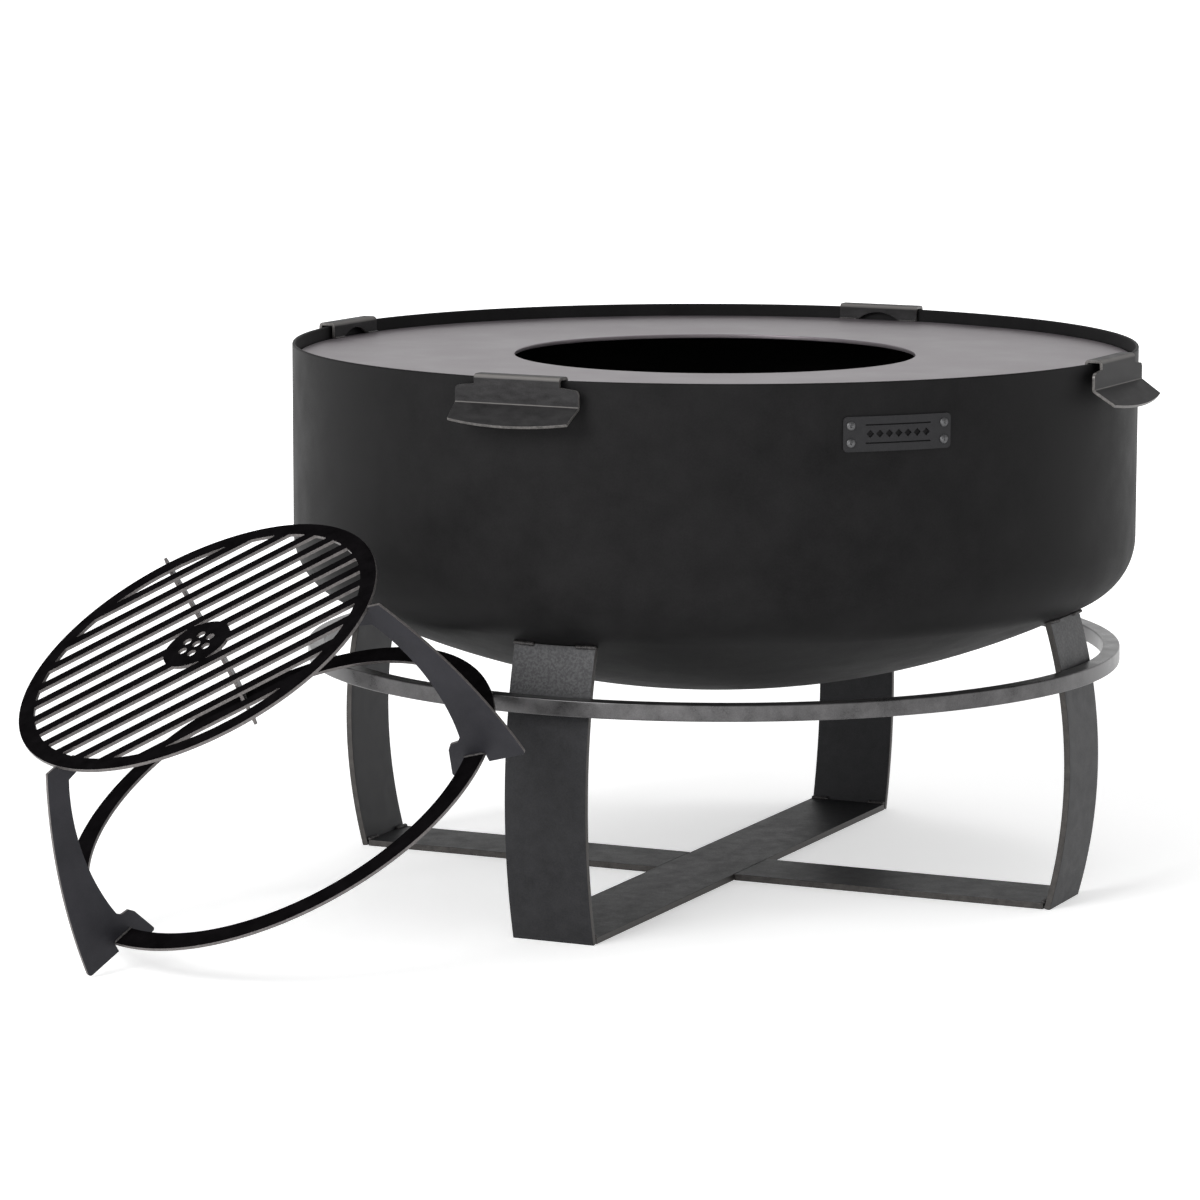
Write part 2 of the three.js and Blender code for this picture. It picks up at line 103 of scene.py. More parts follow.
# ------------------------------------------------------------------------------- outlines
def arc(cx: float, cy: float, radius: float, start: float, end: float, steps: int) -> list[Point]:
    """Points along an arc.

    Args:
        cx: The centre's first coordinate.
        cy: The centre's second coordinate.
        radius: The arc's radius.
        start: The angle of the first point, in degrees.
        end: The angle of the last point, in degrees.
        steps: How many chords the arc has.

    Returns:
        The points, both ends included.
    """
    angles = [math.radians(start + (end - start) * i / steps) for i in range(steps + 1)]
    return [(cx + radius * math.cos(a), cy + radius * math.sin(a)) for a in angles]


def circle(radius: float, steps: int, cx: float = 0.0, cy: float = 0.0) -> list[Point]:
    """A circle as a closed outline."""
    return arc(cx, cy, radius, 0.0, 360.0, steps)[:-1]


def rounded_corner(before: Point, corner: Point, after: Point, radius: float, steps: int) -> list[Point]:
    """Round one corner.

    Args:
        before: The outline's point before it.
        corner: The corner.
        after: The outline's point after it.
        radius: The corner radius, cut down where an edge is too short for it.
        steps: Chords in the rounding.

    Returns:
        The points of its rounding, or the corner itself where it is nearly straight.
    """
    here = Vector(corner)
    back, onward = Vector(before) - here, Vector(after) - here
    half = back.angle(onward) / 2
    if half > STRAIGHT:
        return [corner]
    reach = min(radius / math.tan(half), back.length / CORNER_ROOM, onward.length / CORNER_ROOM)
    middle = (back.normalized() + onward.normalized()).normalized()
    centre = here + middle * (reach / math.cos(half))
    first = here + back.normalized() * reach - centre
    last = here + onward.normalized() * reach - centre
    start = math.atan2(first.y, first.x)
    sweep = (math.atan2(last.y, last.x) - start + math.pi) % FULL_TURN - math.pi
    end = math.degrees(start + sweep)
    return arc(centre.x, centre.y, first.length, math.degrees(start), end, steps)


def rounded(points: Sequence[Point], radius: float, steps: int = 3) -> list[Point]:
    """Round the corners of a closed outline.

    Args:
        points: The outline's corners, in order.
        radius: The corner radius.
        steps: Chords in each rounded corner.

    Returns:
        The outline with its corners rounded.
    """
    result: list[Point] = []
    for i, corner in enumerate(points):
        result += rounded_corner(points[i - 1], corner, points[(i + 1) % len(points)], radius, steps)
    return result


def rounded_run(points: Sequence[Point], radius: float, steps: int = 4) -> list[Point]:
    """Round the corners inside an open run of points.

    Args:
        points: The run's points, in order.
        radius: The corner radius.
        steps: Chords in each rounded corner.

    Returns:
        The run with both of its ends kept.
    """
    result = [points[0]]
    for before, corner, after in zip(points, points[1:], points[2:]):
        result += rounded_corner(before, corner, after, radius, steps)
    return [*result, points[-1]]


def bowed(start: Point, end: Point, bulge: float, steps: int) -> list[Point]:
    """Points along an arc over a chord.

    Args:
        start: Where the arc begins.
        end: Where the arc ends.
        bulge: How far it stands off the chord, to the left of its direction.
        steps: How many chords the arc has.

    Returns:
        The points, both ends included.
    """
    a, b = Vector(start), Vector(end)
    along = (b - a).normalized()
    left = Vector((-along.y, along.x))
    chord, sag = (b - a).length, abs(bulge)
    radius = (chord**2 / 4 + sag**2) / (2 * sag)
    points = []
    for i in range(steps + 1):
        s = chord * i / steps
        rise = math.copysign(math.sqrt(radius**2 - (s - chord / 2) ** 2) - radius + sag, bulge)
        point = a + along * s + left * rise
        points.append((point.x, point.y))
    return points


def box_outline(x0: float, x1: float, y0: float, y1: float) -> list[Point]:
    """The four corners of a rectangle."""
    return [(x0, y0), (x1, y0), (x1, y1), (x0, y1)]


# ------------------------------------------------------------------------------- blanks
def turned(profile: Sequence[Point], steps: int, ring: bool = True) -> BMesh:
    """Turn an outline about the Z axis.

    Args:
        profile: Radius and height of each point.
        steps: Steps in the full turn.
        ring: True for an outline that closes on itself, False for one with both ends on the axis.

    Returns:
        The turned blank.
    """
    bm = bmesh.new()
    verts = [bm.verts.new((r, 0.0, z)) for r, z in profile]
    following = verts[1:] + verts[:1] if ring else verts[1:]
    edges = [bm.edges.new(pair) for pair in zip(verts, following)]
    bmesh.ops.spin(
        bm,
        geom=verts + edges,
        cent=(0, 0, 0),
        axis=(0, 0, 1),
        dvec=(0, 0, 0),
        angle=FULL_TURN,
        steps=steps,
        use_merge=True,
    )
    return bm


def cut_flat(outlines: Iterable[Sequence[Point]]) -> BMesh:
    """Cut a flat blank out of a sheet in the XY plane.

    Args:
        outlines: Its outline and the outlines of its holes.

    Returns:
        The blank.
    """
    bm = bmesh.new()
    for outline in outlines:
        verts = [bm.verts.new((x, y, 0.0)) for x, y in outline]
        for i, vert in enumerate(verts):
            bm.edges.new((verts[i - 1], vert))
    bmesh.ops.triangle_fill(bm, use_beauty=True, use_dissolve=False, edges=bm.edges[:])
    return bm


def strip(columns: Sequence[float], rows: int) -> tuple[BMesh, list[list[BMVert]]]:
    """A grid blank for a bent sheet, and its vertices row by row.

    Args:
        columns: Where the columns stand across the sheet, from -1 to 1.
        rows: How many rows of vertices it has.

    Returns:
        The blank and a list of rows, each a list of vertices in the order of the columns.
    """
    bm = bmesh.new()
    # a value on each vertex for the painted highlight along the bends
    bm.verts.layers.float.new("bend_highlight")
    bmesh.ops.create_grid(bm, x_segments=len(columns) - 1, y_segments=rows - 1, size=1.0)
    ordered = sorted(bm.verts, key=lambda v: (round(v.co.y, 5), v.co.x))
    count = len(columns)
    return bm, [ordered[i * count : (i + 1) * count] for i in range(rows)]


@dataclass(frozen=True)
class Berth:
    """Where a piece belongs: its body, a slot name and the nodes that it stands for."""

    body: Body
    slot: str
    nodes: tuple[str, ...] = ()


def place(
    name: str,
    bm: BMesh,
    finishes: Sequence[Material],
    berth: Berth,
    where: Matrix | None = None,
) -> Object:
    """Make a piece from a blank and put it where it belongs.

    Args:
        name: The piece's name.
        bm: The blank, in millimetres. It is used up.
        finishes: The piece's materials, in slot order.
        berth: Its body, slot and the nodes it replaces.
        where: A turn and shift in millimetres, or None to leave it where it was drawn.

    Returns:
        The new object, with its place in its mesh.
    """
    bmesh.ops.remove_doubles(bm, verts=bm.verts[:], dist=SAME_PLACE)
    bmesh.ops.recalc_face_normals(bm, faces=bm.faces[:])
    if where is not None:
        bm.transform(where)
    bm.transform(Matrix.Scale(MM, 4))
    mesh = bpy.data.meshes.new(name)
    bm.to_mesh(mesh)
    bm.free()
    for finish in finishes:
        mesh.materials.append(finish)
    mesh.shade_smooth()
    piece = bpy.data.objects.new(name, mesh)
    bpy.context.collection.objects.link(piece)
    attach(piece, berth.body.value)
    if berth.nodes:
        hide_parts(*berth.nodes)
    LOG.info("%s: %d faces on %s", name, len(mesh.polygons), berth.body.value)
    return piece


def soften(piece: Object, width: float, segments: int = 2) -> None:
    """Break a piece's sharp edges and even out its shading.

    Args:
        piece: The piece.
        width: The width of the broken edge, in millimetres.
        segments: Facets across the edge.
    """
    bevel = piece.modifiers.new("broken_edges", "BEVEL")
    bevel.width = width * MM
    bevel.segments = segments
    bevel.limit_method = "ANGLE"
    bevel.angle_limit = SHARP
    bevel.use_clamp_overlap = True
    even_out(piece)


def even_out(piece: Object) -> None:
    """Shade a piece by the size of its faces, so that its flats look flat."""
    normals = piece.modifiers.new("even_shading", "WEIGHTED_NORMAL")
    normals.weight = FACE_WEIGHT
    normals.keep_sharp = True


def thicken(piece: Object, thickness: float, edge: float) -> None:
    """Give a sheet its thickness about its middle, with its second finish on the cut edges.

    Args:
        piece: The sheet.
        thickness: The sheet's thickness, in millimetres.
        edge: The width of its broken edges, in millimetres.
    """
    wall = piece.modifiers.new("sheet", "SOLIDIFY")
    wall.thickness = thickness * MM
    wall.offset = 0.0
    wall.use_even_offset = True
    wall.material_offset_rim = 1
    soften(piece, edge)


def spun(azimuth: float) -> Matrix:
    """A turn about the Z axis, in degrees."""
    return Matrix.Rotation(math.radians(azimuth), 4, "Z")


def shifted(x: float, y: float, z: float) -> Matrix:
    """A shift in millimetres."""
    return Matrix.Translation((x, y, z))


UPRIGHT = Matrix.Rotation(math.pi / 2, 4, "X")  # from the XY plane to the XZ plane
OUTWARD = Matrix.Rotation(math.pi / 2, 4, "Y")  # from the Z axis to the X axis


# ------------------------------------------------------------------------------- finishes
class Wiring:
    """One material's nodes, made and joined one after another."""

    FINE_SHARE = 0.6  # how strong a noise's finer structure is

    def __init__(self, name: str) -> None:
        """Start a material.

        Args:
            name: The material's name.
        """
        self.material = bpy.data.materials.new(name)
        self.material.use_nodes = True
        self.nodes = self.material.node_tree.nodes
        self.links = self.material.node_tree.links
        self.shader = self.nodes["Principled BSDF"]
        self.place = self.nodes.new("ShaderNodeTexCoord").outputs["Object"]

    def noise(self, size: float, detail: float, stretch: Sequence[float] = (1, 1, 1)) -> NodeSocket:
        """Soft random patches.

        Args:
            size: The patches' size, in millimetres.
            detail: How much finer structure they have.
            stretch: How many times tighter they are along each axis.

        Returns:
            A value from 0 to 1.
        """
        mapping = self.nodes.new("ShaderNodeMapping")
        mapping.inputs["Scale"].default_value = stretch
        self.links.new(self.place, mapping.inputs["Vector"])
        node = self.nodes.new("ShaderNodeTexNoise")
        node.inputs["Scale"].default_value = 1 / (size * MM)
        node.inputs["Detail"].default_value = detail
        node.inputs["Roughness"].default_value = self.FINE_SHARE
        self.links.new(mapping.outputs["Vector"], node.inputs["Vector"])
        return node.outputs[0]

    def mixed(self, first: NodeSocket, second: NodeSocket, share: float) -> NodeSocket:
        """Mix two values.

        Args:
            first: The one value.
            second: The other value.
            share: The second one's part, from 0 to 1.

        Returns:
            The mixed value.
        """
        node = self.nodes.new("ShaderNodeMix")
        node.inputs["Factor"].default_value = share
        self.links.new(first, node.inputs["A"])
        self.links.new(second, node.inputs["B"])
        return node.outputs["Result"]

    def span(self, value: NodeSocket, source: Point, target: Point) -> NodeSocket:
        """Stretch a value from one range to another, and keep it inside.

        Args:
            value: The value.
            source: The range it is read in.
            target: The range it is given.

        Returns:
            The stretched value.
        """
        node = self.nodes.new("ShaderNodeMapRange")
        node.inputs["From Min"].default_value, node.inputs["From Max"].default_value = source
        node.inputs["To Min"].default_value, node.inputs["To Max"].default_value = target
        self.links.new(value, node.inputs["Value"])
        return node.outputs["Result"]

    def tinted(self, value: NodeSocket, stops: Sequence[tuple[float, Colour]]) -> NodeSocket:
        """A value turned into a colour.

        Args:
            value: The value, from 0 to 1.
            stops: Two or more pairs of a value and its colour.

        Returns:
            The colour.
        """
        node = self.nodes.new("ShaderNodeValToRGB")
        ramp = node.color_ramp
        while len(ramp.elements) < len(stops):
            ramp.elements.new(0.5)
        for element, (at, colour) in zip(ramp.elements, stops):
            element.position = at
            element.color = (*colour, 1.0)
        self.links.new(value, node.inputs["Fac"])
        return node.outputs["Color"]

    def blended(self, share: NodeSocket, colour: NodeSocket, other: Colour) -> NodeSocket:
        """Turn a colour into another one.

        Args:
            share: How far it has turned, from 0 to 1.
            colour: The colour where share is 0.
            other: The colour where share is 1.

        Returns:
            The colour.
        """
        node = self.nodes.new("ShaderNodeMix")
        node.data_type = "RGBA"
        self.links.new(share, node.inputs["Factor"])
        self.links.new(colour, node.inputs[6])
        node.inputs[7].default_value = (*other, 1.0)
        return node.outputs[2]

    def times(self, first: NodeSocket, second: NodeSocket) -> NodeSocket:
        """Multiply two values.

        Args:
            first: The one value.
            second: The other value.

        Returns:
            Their product.
        """
        node = self.nodes.new("ShaderNodeMath")
        node.operation = "MULTIPLY"
        self.links.new(first, node.inputs[0])
        self.links.new(second, node.inputs[1])
        return node.outputs["Value"]

    def above(self, height: float, blur: float) -> NodeSocket:
        """Tell what lies above a height from what lies below it.

        Args:
            height: The height, in metres.
            blur: Half of the soft border's width, in metres.

        Returns:
            1 above the border and 0 below it.
        """
        split = self.nodes.new("ShaderNodeSeparateXYZ")
        self.links.new(self.place, split.inputs["Vector"])
        return self.span(split.outputs["Z"], (height - blur, height + blur), (0.0, 1.0))

    def raised(self, height: NodeSocket, depth: float, strength: float) -> None:
        """Give the surface its relief.

        Args:
            height: The relief, from 0 to 1.
            depth: Its depth, in millimetres.
            strength: How much of it shows.
        """
        node = self.nodes.new("ShaderNodeBump")
        node.inputs["Distance"].default_value = depth * MM
        node.inputs["Strength"].default_value = strength
        self.links.new(height, node.inputs["Height"])
        self.links.new(node.outputs["Normal"], self.shader.inputs["Normal"])

    def attribute(self, name: str) -> NodeSocket:
        """Read what a piece keeps on its own vertices.

        Args:
            name: The attribute's name.

        Returns:
            Its value.
        """
        node = self.nodes.new("ShaderNodeAttribute")
        node.attribute_name = name
        return node.outputs["Fac"]


SKIN_RANGE = (0.32, 0.68)  # the part of the skin's noise that goes from dark to light
GLOSS_RANGE = (0.35, 0.65)  # the part that goes from glossy to dull
PATCH_DETAIL = 5.0
GRAIN_DETAIL = 3.0
GRAIN_STRENGTH = 0.5
HIGHLIGHT_RANGE = (0.35, 1.0)  # the painted highlight on bends: the vertex value that shows none of it, and the value that shows most
HIGHLIGHT_MOST = 0.85
SCALE_SIZE = 2.2  # millimetres
SCALE_DETAIL = 2.0
SCALE_RANGE = (0.38, 0.62)
SCALE_COVER = (0.35, 1.0)  # from the thinnest scale to the thickest
SCALE_BLUR = 0.004  # metres


@dataclass(frozen=True)
class Steel:
    """A steel surface whose colour, gloss and relief follow its skin."""

    name: str
    dark: Colour
    light: Colour
    metallic: float
    roughness: Point
    patch: float
    grain: float
    depth: float
    stretch: Place = (1.0, 1.0, 1.0)
    grain_share: float = 0.35
    specular: float = 0.5
    # the colour of a painted highlight laid along the bends of a sheet
    bend_highlight: Colour | None = None
    scaled: Colour | None = None
    scaled_above: float = 0.0

    def material(self) -> Material:
        """Wire the finish.

        Returns:
            The material.
        """
        wiring = Wiring(self.name)
        shader = wiring.shader
        patches = wiring.noise(self.patch, PATCH_DETAIL, self.stretch)
        grain = wiring.noise(self.grain, GRAIN_DETAIL)
        skin = wiring.mixed(patches, grain, self.grain_share)
        level = wiring.span(skin, SKIN_RANGE, (0.0, 1.0))
        colour = wiring.tinted(level, [(0.0, self.dark), (1.0, self.light)])
        rough = wiring.span(skin, GLOSS_RANGE, self.roughness)
        # painted highlight: a lighter colour along the bends stands in for the shine where the sheet
        # curves
        if self.bend_highlight is not None:
            highlight_share = wiring.span(wiring.attribute("bend_highlight"), HIGHLIGHT_RANGE, (0.0, HIGHLIGHT_MOST))
            colour = wiring.blended(highlight_share, colour, self.bend_highlight)
        if self.scaled is not None:
            speckle = wiring.span(wiring.noise(SCALE_SIZE, SCALE_DETAIL), SCALE_RANGE, SCALE_COVER)
            mask = wiring.above(self.scaled_above, SCALE_BLUR)
            colour = wiring.blended(wiring.times(mask, speckle), colour, self.scaled)
        wiring.links.new(colour, shader.inputs["Base Color"])
        wiring.links.new(rough, shader.inputs["Roughness"])
        shader.inputs["Metallic"].default_value = self.metallic
        shader.inputs["Specular IOR Level"].default_value = self.specular
        wiring.raised(grain, self.depth, GRAIN_STRENGTH)
        return wiring.material


@dataclass
class Finishes:
    """Every finish on the object, each made once."""

    pit: Material = field(init=False)
    pit_edge: Material = field(init=False)
    stand: Material = field(init=False)
    leg: Material = field(init=False)
    ring: Material = field(init=False)
    griddle: Material = field(init=False)
    handle: Material = field(init=False)
    handle_edge: Material = field(init=False)
    tag: Material = field(init=False)
    rivet: Material = field(init=False)
    grate_top: Material = field(init=False)
    grate_leg: Material = field(init=False)
    grate_edge: Material = field(init=False)
    weld: Material = field(init=False)

    def __post_init__(self) -> None:
        """Make the materials."""
        self.pit = Steel(
            "matte_black_steel",
            dark=(0.0042, 0.0041, 0.0043),
            light=(0.0105, 0.0102, 0.0106),
            metallic=0.0,
            roughness=(0.5, 0.62),
            specular=0.08,
            patch=45.0,
            grain=1.6,
            depth=0.05,
        ).material()
        self.pit_edge = Steel(
            "black_steel_edge",
            dark=(0.03, 0.028, 0.027),
            light=(0.075, 0.07, 0.066),
            metallic=0.6,
            roughness=(0.4, 0.55),
            patch=8.0,
            grain=0.8,
            depth=0.05,
        ).material()
        self.stand = Steel(
            "black_bar_steel",
            dark=(0.0125, 0.0125, 0.0137),
            light=(0.0275, 0.0275, 0.0295),
            metallic=0.1,
            roughness=(0.42, 0.58),
            specular=0.16,
            patch=14.0,
            grain=1.4,
            depth=0.06,
            grain_share=0.5,
        ).material()
        self.leg = Steel(
            "scaled_leg_steel",
            dark=(0.0125, 0.0125, 0.0138),
            light=(0.027, 0.027, 0.0292),
            metallic=0.1,
            roughness=(0.4, 0.56),
            specular=0.18,
            patch=14.0,
            grain=1.4,
            depth=0.06,
            grain_share=0.5,
            scaled=(0.058, 0.058, 0.06),
            scaled_above=0.222,
        ).material()
        self.ring = Steel(
            "rolled_ring_steel",
            dark=(0.045, 0.044, 0.045),
            light=(0.115, 0.112, 0.114),
            metallic=0.75,
            roughness=(0.26, 0.38),
            patch=20.0,
            grain=1.2,
            depth=0.03,
        ).material()
        self.griddle = Steel(
            "hot_rolled_griddle_plate",
            dark=(0.18, 0.161, 0.174),
            light=(0.24, 0.216, 0.231),
            metallic=0.85,
            roughness=(0.36, 0.46),
            patch=60.0,
            grain=1.2,
            depth=0.02,
            grain_share=0.3,
        ).material()
        self.handle = Steel(
            "raw_handle_sheet",
            dark=(0.014, 0.0136, 0.014),
            light=(0.034, 0.0332, 0.034),
            metallic=0.0,
            specular=0.06,
            roughness=(0.38, 0.52),
            patch=16.0,
            grain=0.9,
            depth=0.03,
            stretch=(1.0, 1.0, 3.0),
            # painted highlight along the handle's bends
            bend_highlight=(0.16, 0.153, 0.148),
        ).material()
        self.handle_edge = Steel(
            "cut_handle_edge",
            dark=(0.035, 0.033, 0.032),
            light=(0.16, 0.152, 0.146),
            metallic=0.5,
            roughness=(0.3, 0.45),
            patch=4.0,
            grain=0.7,
            depth=0.05,
        ).material()
        self.tag = Steel(
            "painted_tag",
            dark=(0.011, 0.0108, 0.012),
            light=(0.02, 0.0198, 0.0212),
            metallic=0.15,
            specular=0.2,
            roughness=(0.42, 0.56),
            patch=6.0,
            grain=0.8,
            depth=0.04,
            grain_share=0.6,
        ).material()
        self.rivet = Steel(
            "dull_rivet",
            dark=(0.05, 0.05, 0.0515),
            light=(0.13, 0.13, 0.134),
            metallic=0.8,
            roughness=(0.34, 0.5),
            patch=2.0,
            grain=0.6,
            depth=0.04,
        ).material()
        self.grate_top = Steel(
            "black_grate_steel",
            dark=(0.002, 0.0018, 0.002),
            light=(0.006, 0.0054, 0.006),
            metallic=0.0,
            roughness=(0.55, 0.7),
            specular=0.0,
            patch=18.0,
            grain=1.2,
            depth=0.04,
        ).material()
        self.grate_leg = Steel(
            "blued_leg_sheet",
            dark=(0.016, 0.0158, 0.0188),
            light=(0.0285, 0.028, 0.033),
            metallic=0.3,
            specular=0.22,
            roughness=(0.42, 0.55),
            patch=30.0,
            grain=1.0,
            depth=0.02,
        ).material()
        self.grate_edge = Steel(
            "cut_grate_edge",
            dark=(0.075, 0.069, 0.068),
            light=(0.2, 0.185, 0.181),
            metallic=0.6,
            roughness=(0.36, 0.52),
            patch=2.5,
            grain=0.6,
            depth=0.08,
            grain_share=0.5,
        ).material()
        self.weld = Steel(
            "weld_metal",
            dark=(0.02, 0.019, 0.02),
            light=(0.085, 0.08, 0.078),
            metallic=0.6,
            roughness=(0.34, 0.6),
            patch=3.0,
            grain=0.8,
            depth=0.1,
        ).material()


# ------------------------------------------------------------------------------- welds
@dataclass
class Welder:
    """Lays weld beads: rows of flattened drops, each lapped over the last."""

    finish: Material
    pitch: float = 1.9
    lap: float = 1.15
    widths: Point = (0.85, 1.12)
    heights: Point = (0.6, 0.8)
    tilts: Point = (0.15, 0.35)
    stray: float = 0.12
    seed: int = 11
    laid: int = 0

    def bead(
        self, name: str, path: Sequence[Vector], size: float, berth: Berth, where: Matrix | None = None
    ) -> Object:
        """Lay one bead.

        Args:
            name: The bead's name.
            path: Its corners, in millimetres.
            size: Half of its width, in millimetres.
            berth: Its body and slot.
            where: A turn and shift for the whole bead, or None.

        Returns:
            The bead.
        """
        chance = random.Random(self.seed + self.laid)
        self.laid += 1
        bm = bmesh.new()
        for start, end in zip(path, path[1:]):
            run = end - start
            drops = max(2, round(run.length / self.pitch))
            turn = run.to_track_quat("X", "Z").to_matrix().to_4x4()
            for i in range(drops + 1):
                wide = size * chance.uniform(*self.widths)
                high = size * chance.uniform(*self.heights)
                squash = Matrix.Diagonal((self.pitch * self.lap, wide, high, 1.0))
                tilt = Matrix.Rotation(chance.uniform(*self.tilts), 4, "Y")
                stray = Vector((0.0, chance.uniform(-self.stray, self.stray) * size, 0.0))
                at = Matrix.Translation(start + run * (i / drops)) @ turn @ Matrix.Translation(stray)
                bmesh.ops.create_icosphere(bm, subdivisions=2, radius=1.0, matrix=at @ tilt @ squash)
        return place(name, bm, [self.finish], berth, where)


# ------------------------------------------------------------------------------- bowl
@dataclass
class Bowl:
    """The bowl: a dished base and a straight wall."""

    finishes: Finishes
    radius: float = 400.0
    wall: float = 3.0
    rim_z: float = 511.0
    knuckle_z: float = 331.0
    knuckle_radius: float = 62.0
    crown_radius: float = 792.0
    steps: int = 240
    crown_steps: int = 24
    knuckle_steps: int = 16
    lip_steps: int = 6
    wall_rows: int = 4

    @property
    def crown_z(self) -> float:
        """The height of the crown's centre."""
        reach = self.radius - self.knuckle_radius
        return self.knuckle_z + math.sqrt((self.crown_radius - self.knuckle_radius) ** 2 - reach**2)

    def skin(self, inset: float) -> list[Point]:
        """Draw the dished base from the axis to the foot of the wall.

        Args:
            inset: How far the line lies inside the bowl's outside.

        Returns:
            Radius and height of each point.
        """
        reach = self.radius - self.knuckle_radius
        lean = math.degrees(math.atan2(reach, self.crown_z - self.knuckle_z))
        crown = arc(0.0, self.crown_z, self.crown_radius - inset, -90.0, lean - 90.0, self.crown_steps)
        bend = self.knuckle_radius - inset
        knuckle = arc(reach, self.knuckle_z, bend, lean - 90.0, 0.0, self.knuckle_steps)
        return [(0.0, crown[0][1]), *crown[1:], *knuckle[1:]]

    def underside(self, radius: float) -> float:
        """Find where the bowl's outside lies.

        Args:
            radius: The distance from its axis.

        Returns:
            The height of the outside there.
        """
        reach = self.radius - self.knuckle_radius
        edge = self.crown_radius * reach / (self.crown_radius - self.knuckle_radius)
        if radius <= edge:
            return self.crown_z - math.sqrt(self.crown_radius**2 - radius**2)
        return self.knuckle_z - math.sqrt(self.knuckle_radius**2 - (radius - reach) ** 2)

    def build(self) -> Object:
        """Model the bowl.

        Returns:
            The bowl.
        """
        outer, inner = self.skin(0.0), self.skin(self.wall)
        half = self.wall / 2
        lip = arc(self.radius - half, self.rim_z - half, half, 0.0, 180.0, self.lip_steps)
        rise = self.rim_z - half - self.knuckle_z
        levels = [self.knuckle_z + rise * i / self.wall_rows for i in range(1, self.wall_rows)]
        up = [(self.radius, z) for z in levels]
        down = [(self.radius - self.wall, z) for z in reversed(levels)]
        bm = turned([*outer, *up, *lip, *down, *reversed(inner)], self.steps, ring=False)
        berth = Berth(Body.PIT, "pit_steel", ("bowl_base", "bowl_wall"))
        piece = place("bowl", bm, [self.finishes.pit], berth)
        even_out(piece)
        return piece


@dataclass(frozen=True)
class BlindRivet:
    """A blind rivet: a domed head with the dimple of its pulled stem, a shank and a bulged tail."""

    head: float = 4.0
    head_rise: float = 2.0
    brim: float = 0.35
    dome: float = 1.55
    dome_angles: tuple[float, ...] = (0.0, 0.4, 0.8, 1.15)
    mouth: float = 1.45
    throat: float = 1.2
    stem: float = 1.0
    dimple: float = 1.15
    shank: float = 2.0
    tail: float = 3.1
    tail_end: float = 2.3
    tail_reach: float = 2.0
    tail_length: float = 1.5
    steps: int = 40

    def profile(self, face: float, inside: float) -> list[Point]:
        """Draw the rivet from its tail to its dimple.

        Args:
            face: How far the surface under its head is from the start of its axis.
            inside: How far the sheet's inner face is.

        Returns:
            Radius and place along the axis of each point.
        """
        top, end = face + self.head_rise, inside - self.tail_reach
        neck = end + self.tail_length
        tail = [(0.0, end), (self.tail_end, end), (self.tail, neck - 0.1), (self.shank, neck)]
        under = [(self.shank, face), (self.head, face)]
        brim = face + self.brim
        dome = [(self.head * math.cos(a), brim + self.dome * math.sin(a)) for a in self.dome_angles]
        mouth = [(self.mouth, top - 0.05), (self.throat, top - 0.35)]
        floor = [(self.stem, top - self.dimple + 0.15), (0.0, top - self.dimple)]
        return [*tail, *under, *dome, *mouth, *floor]


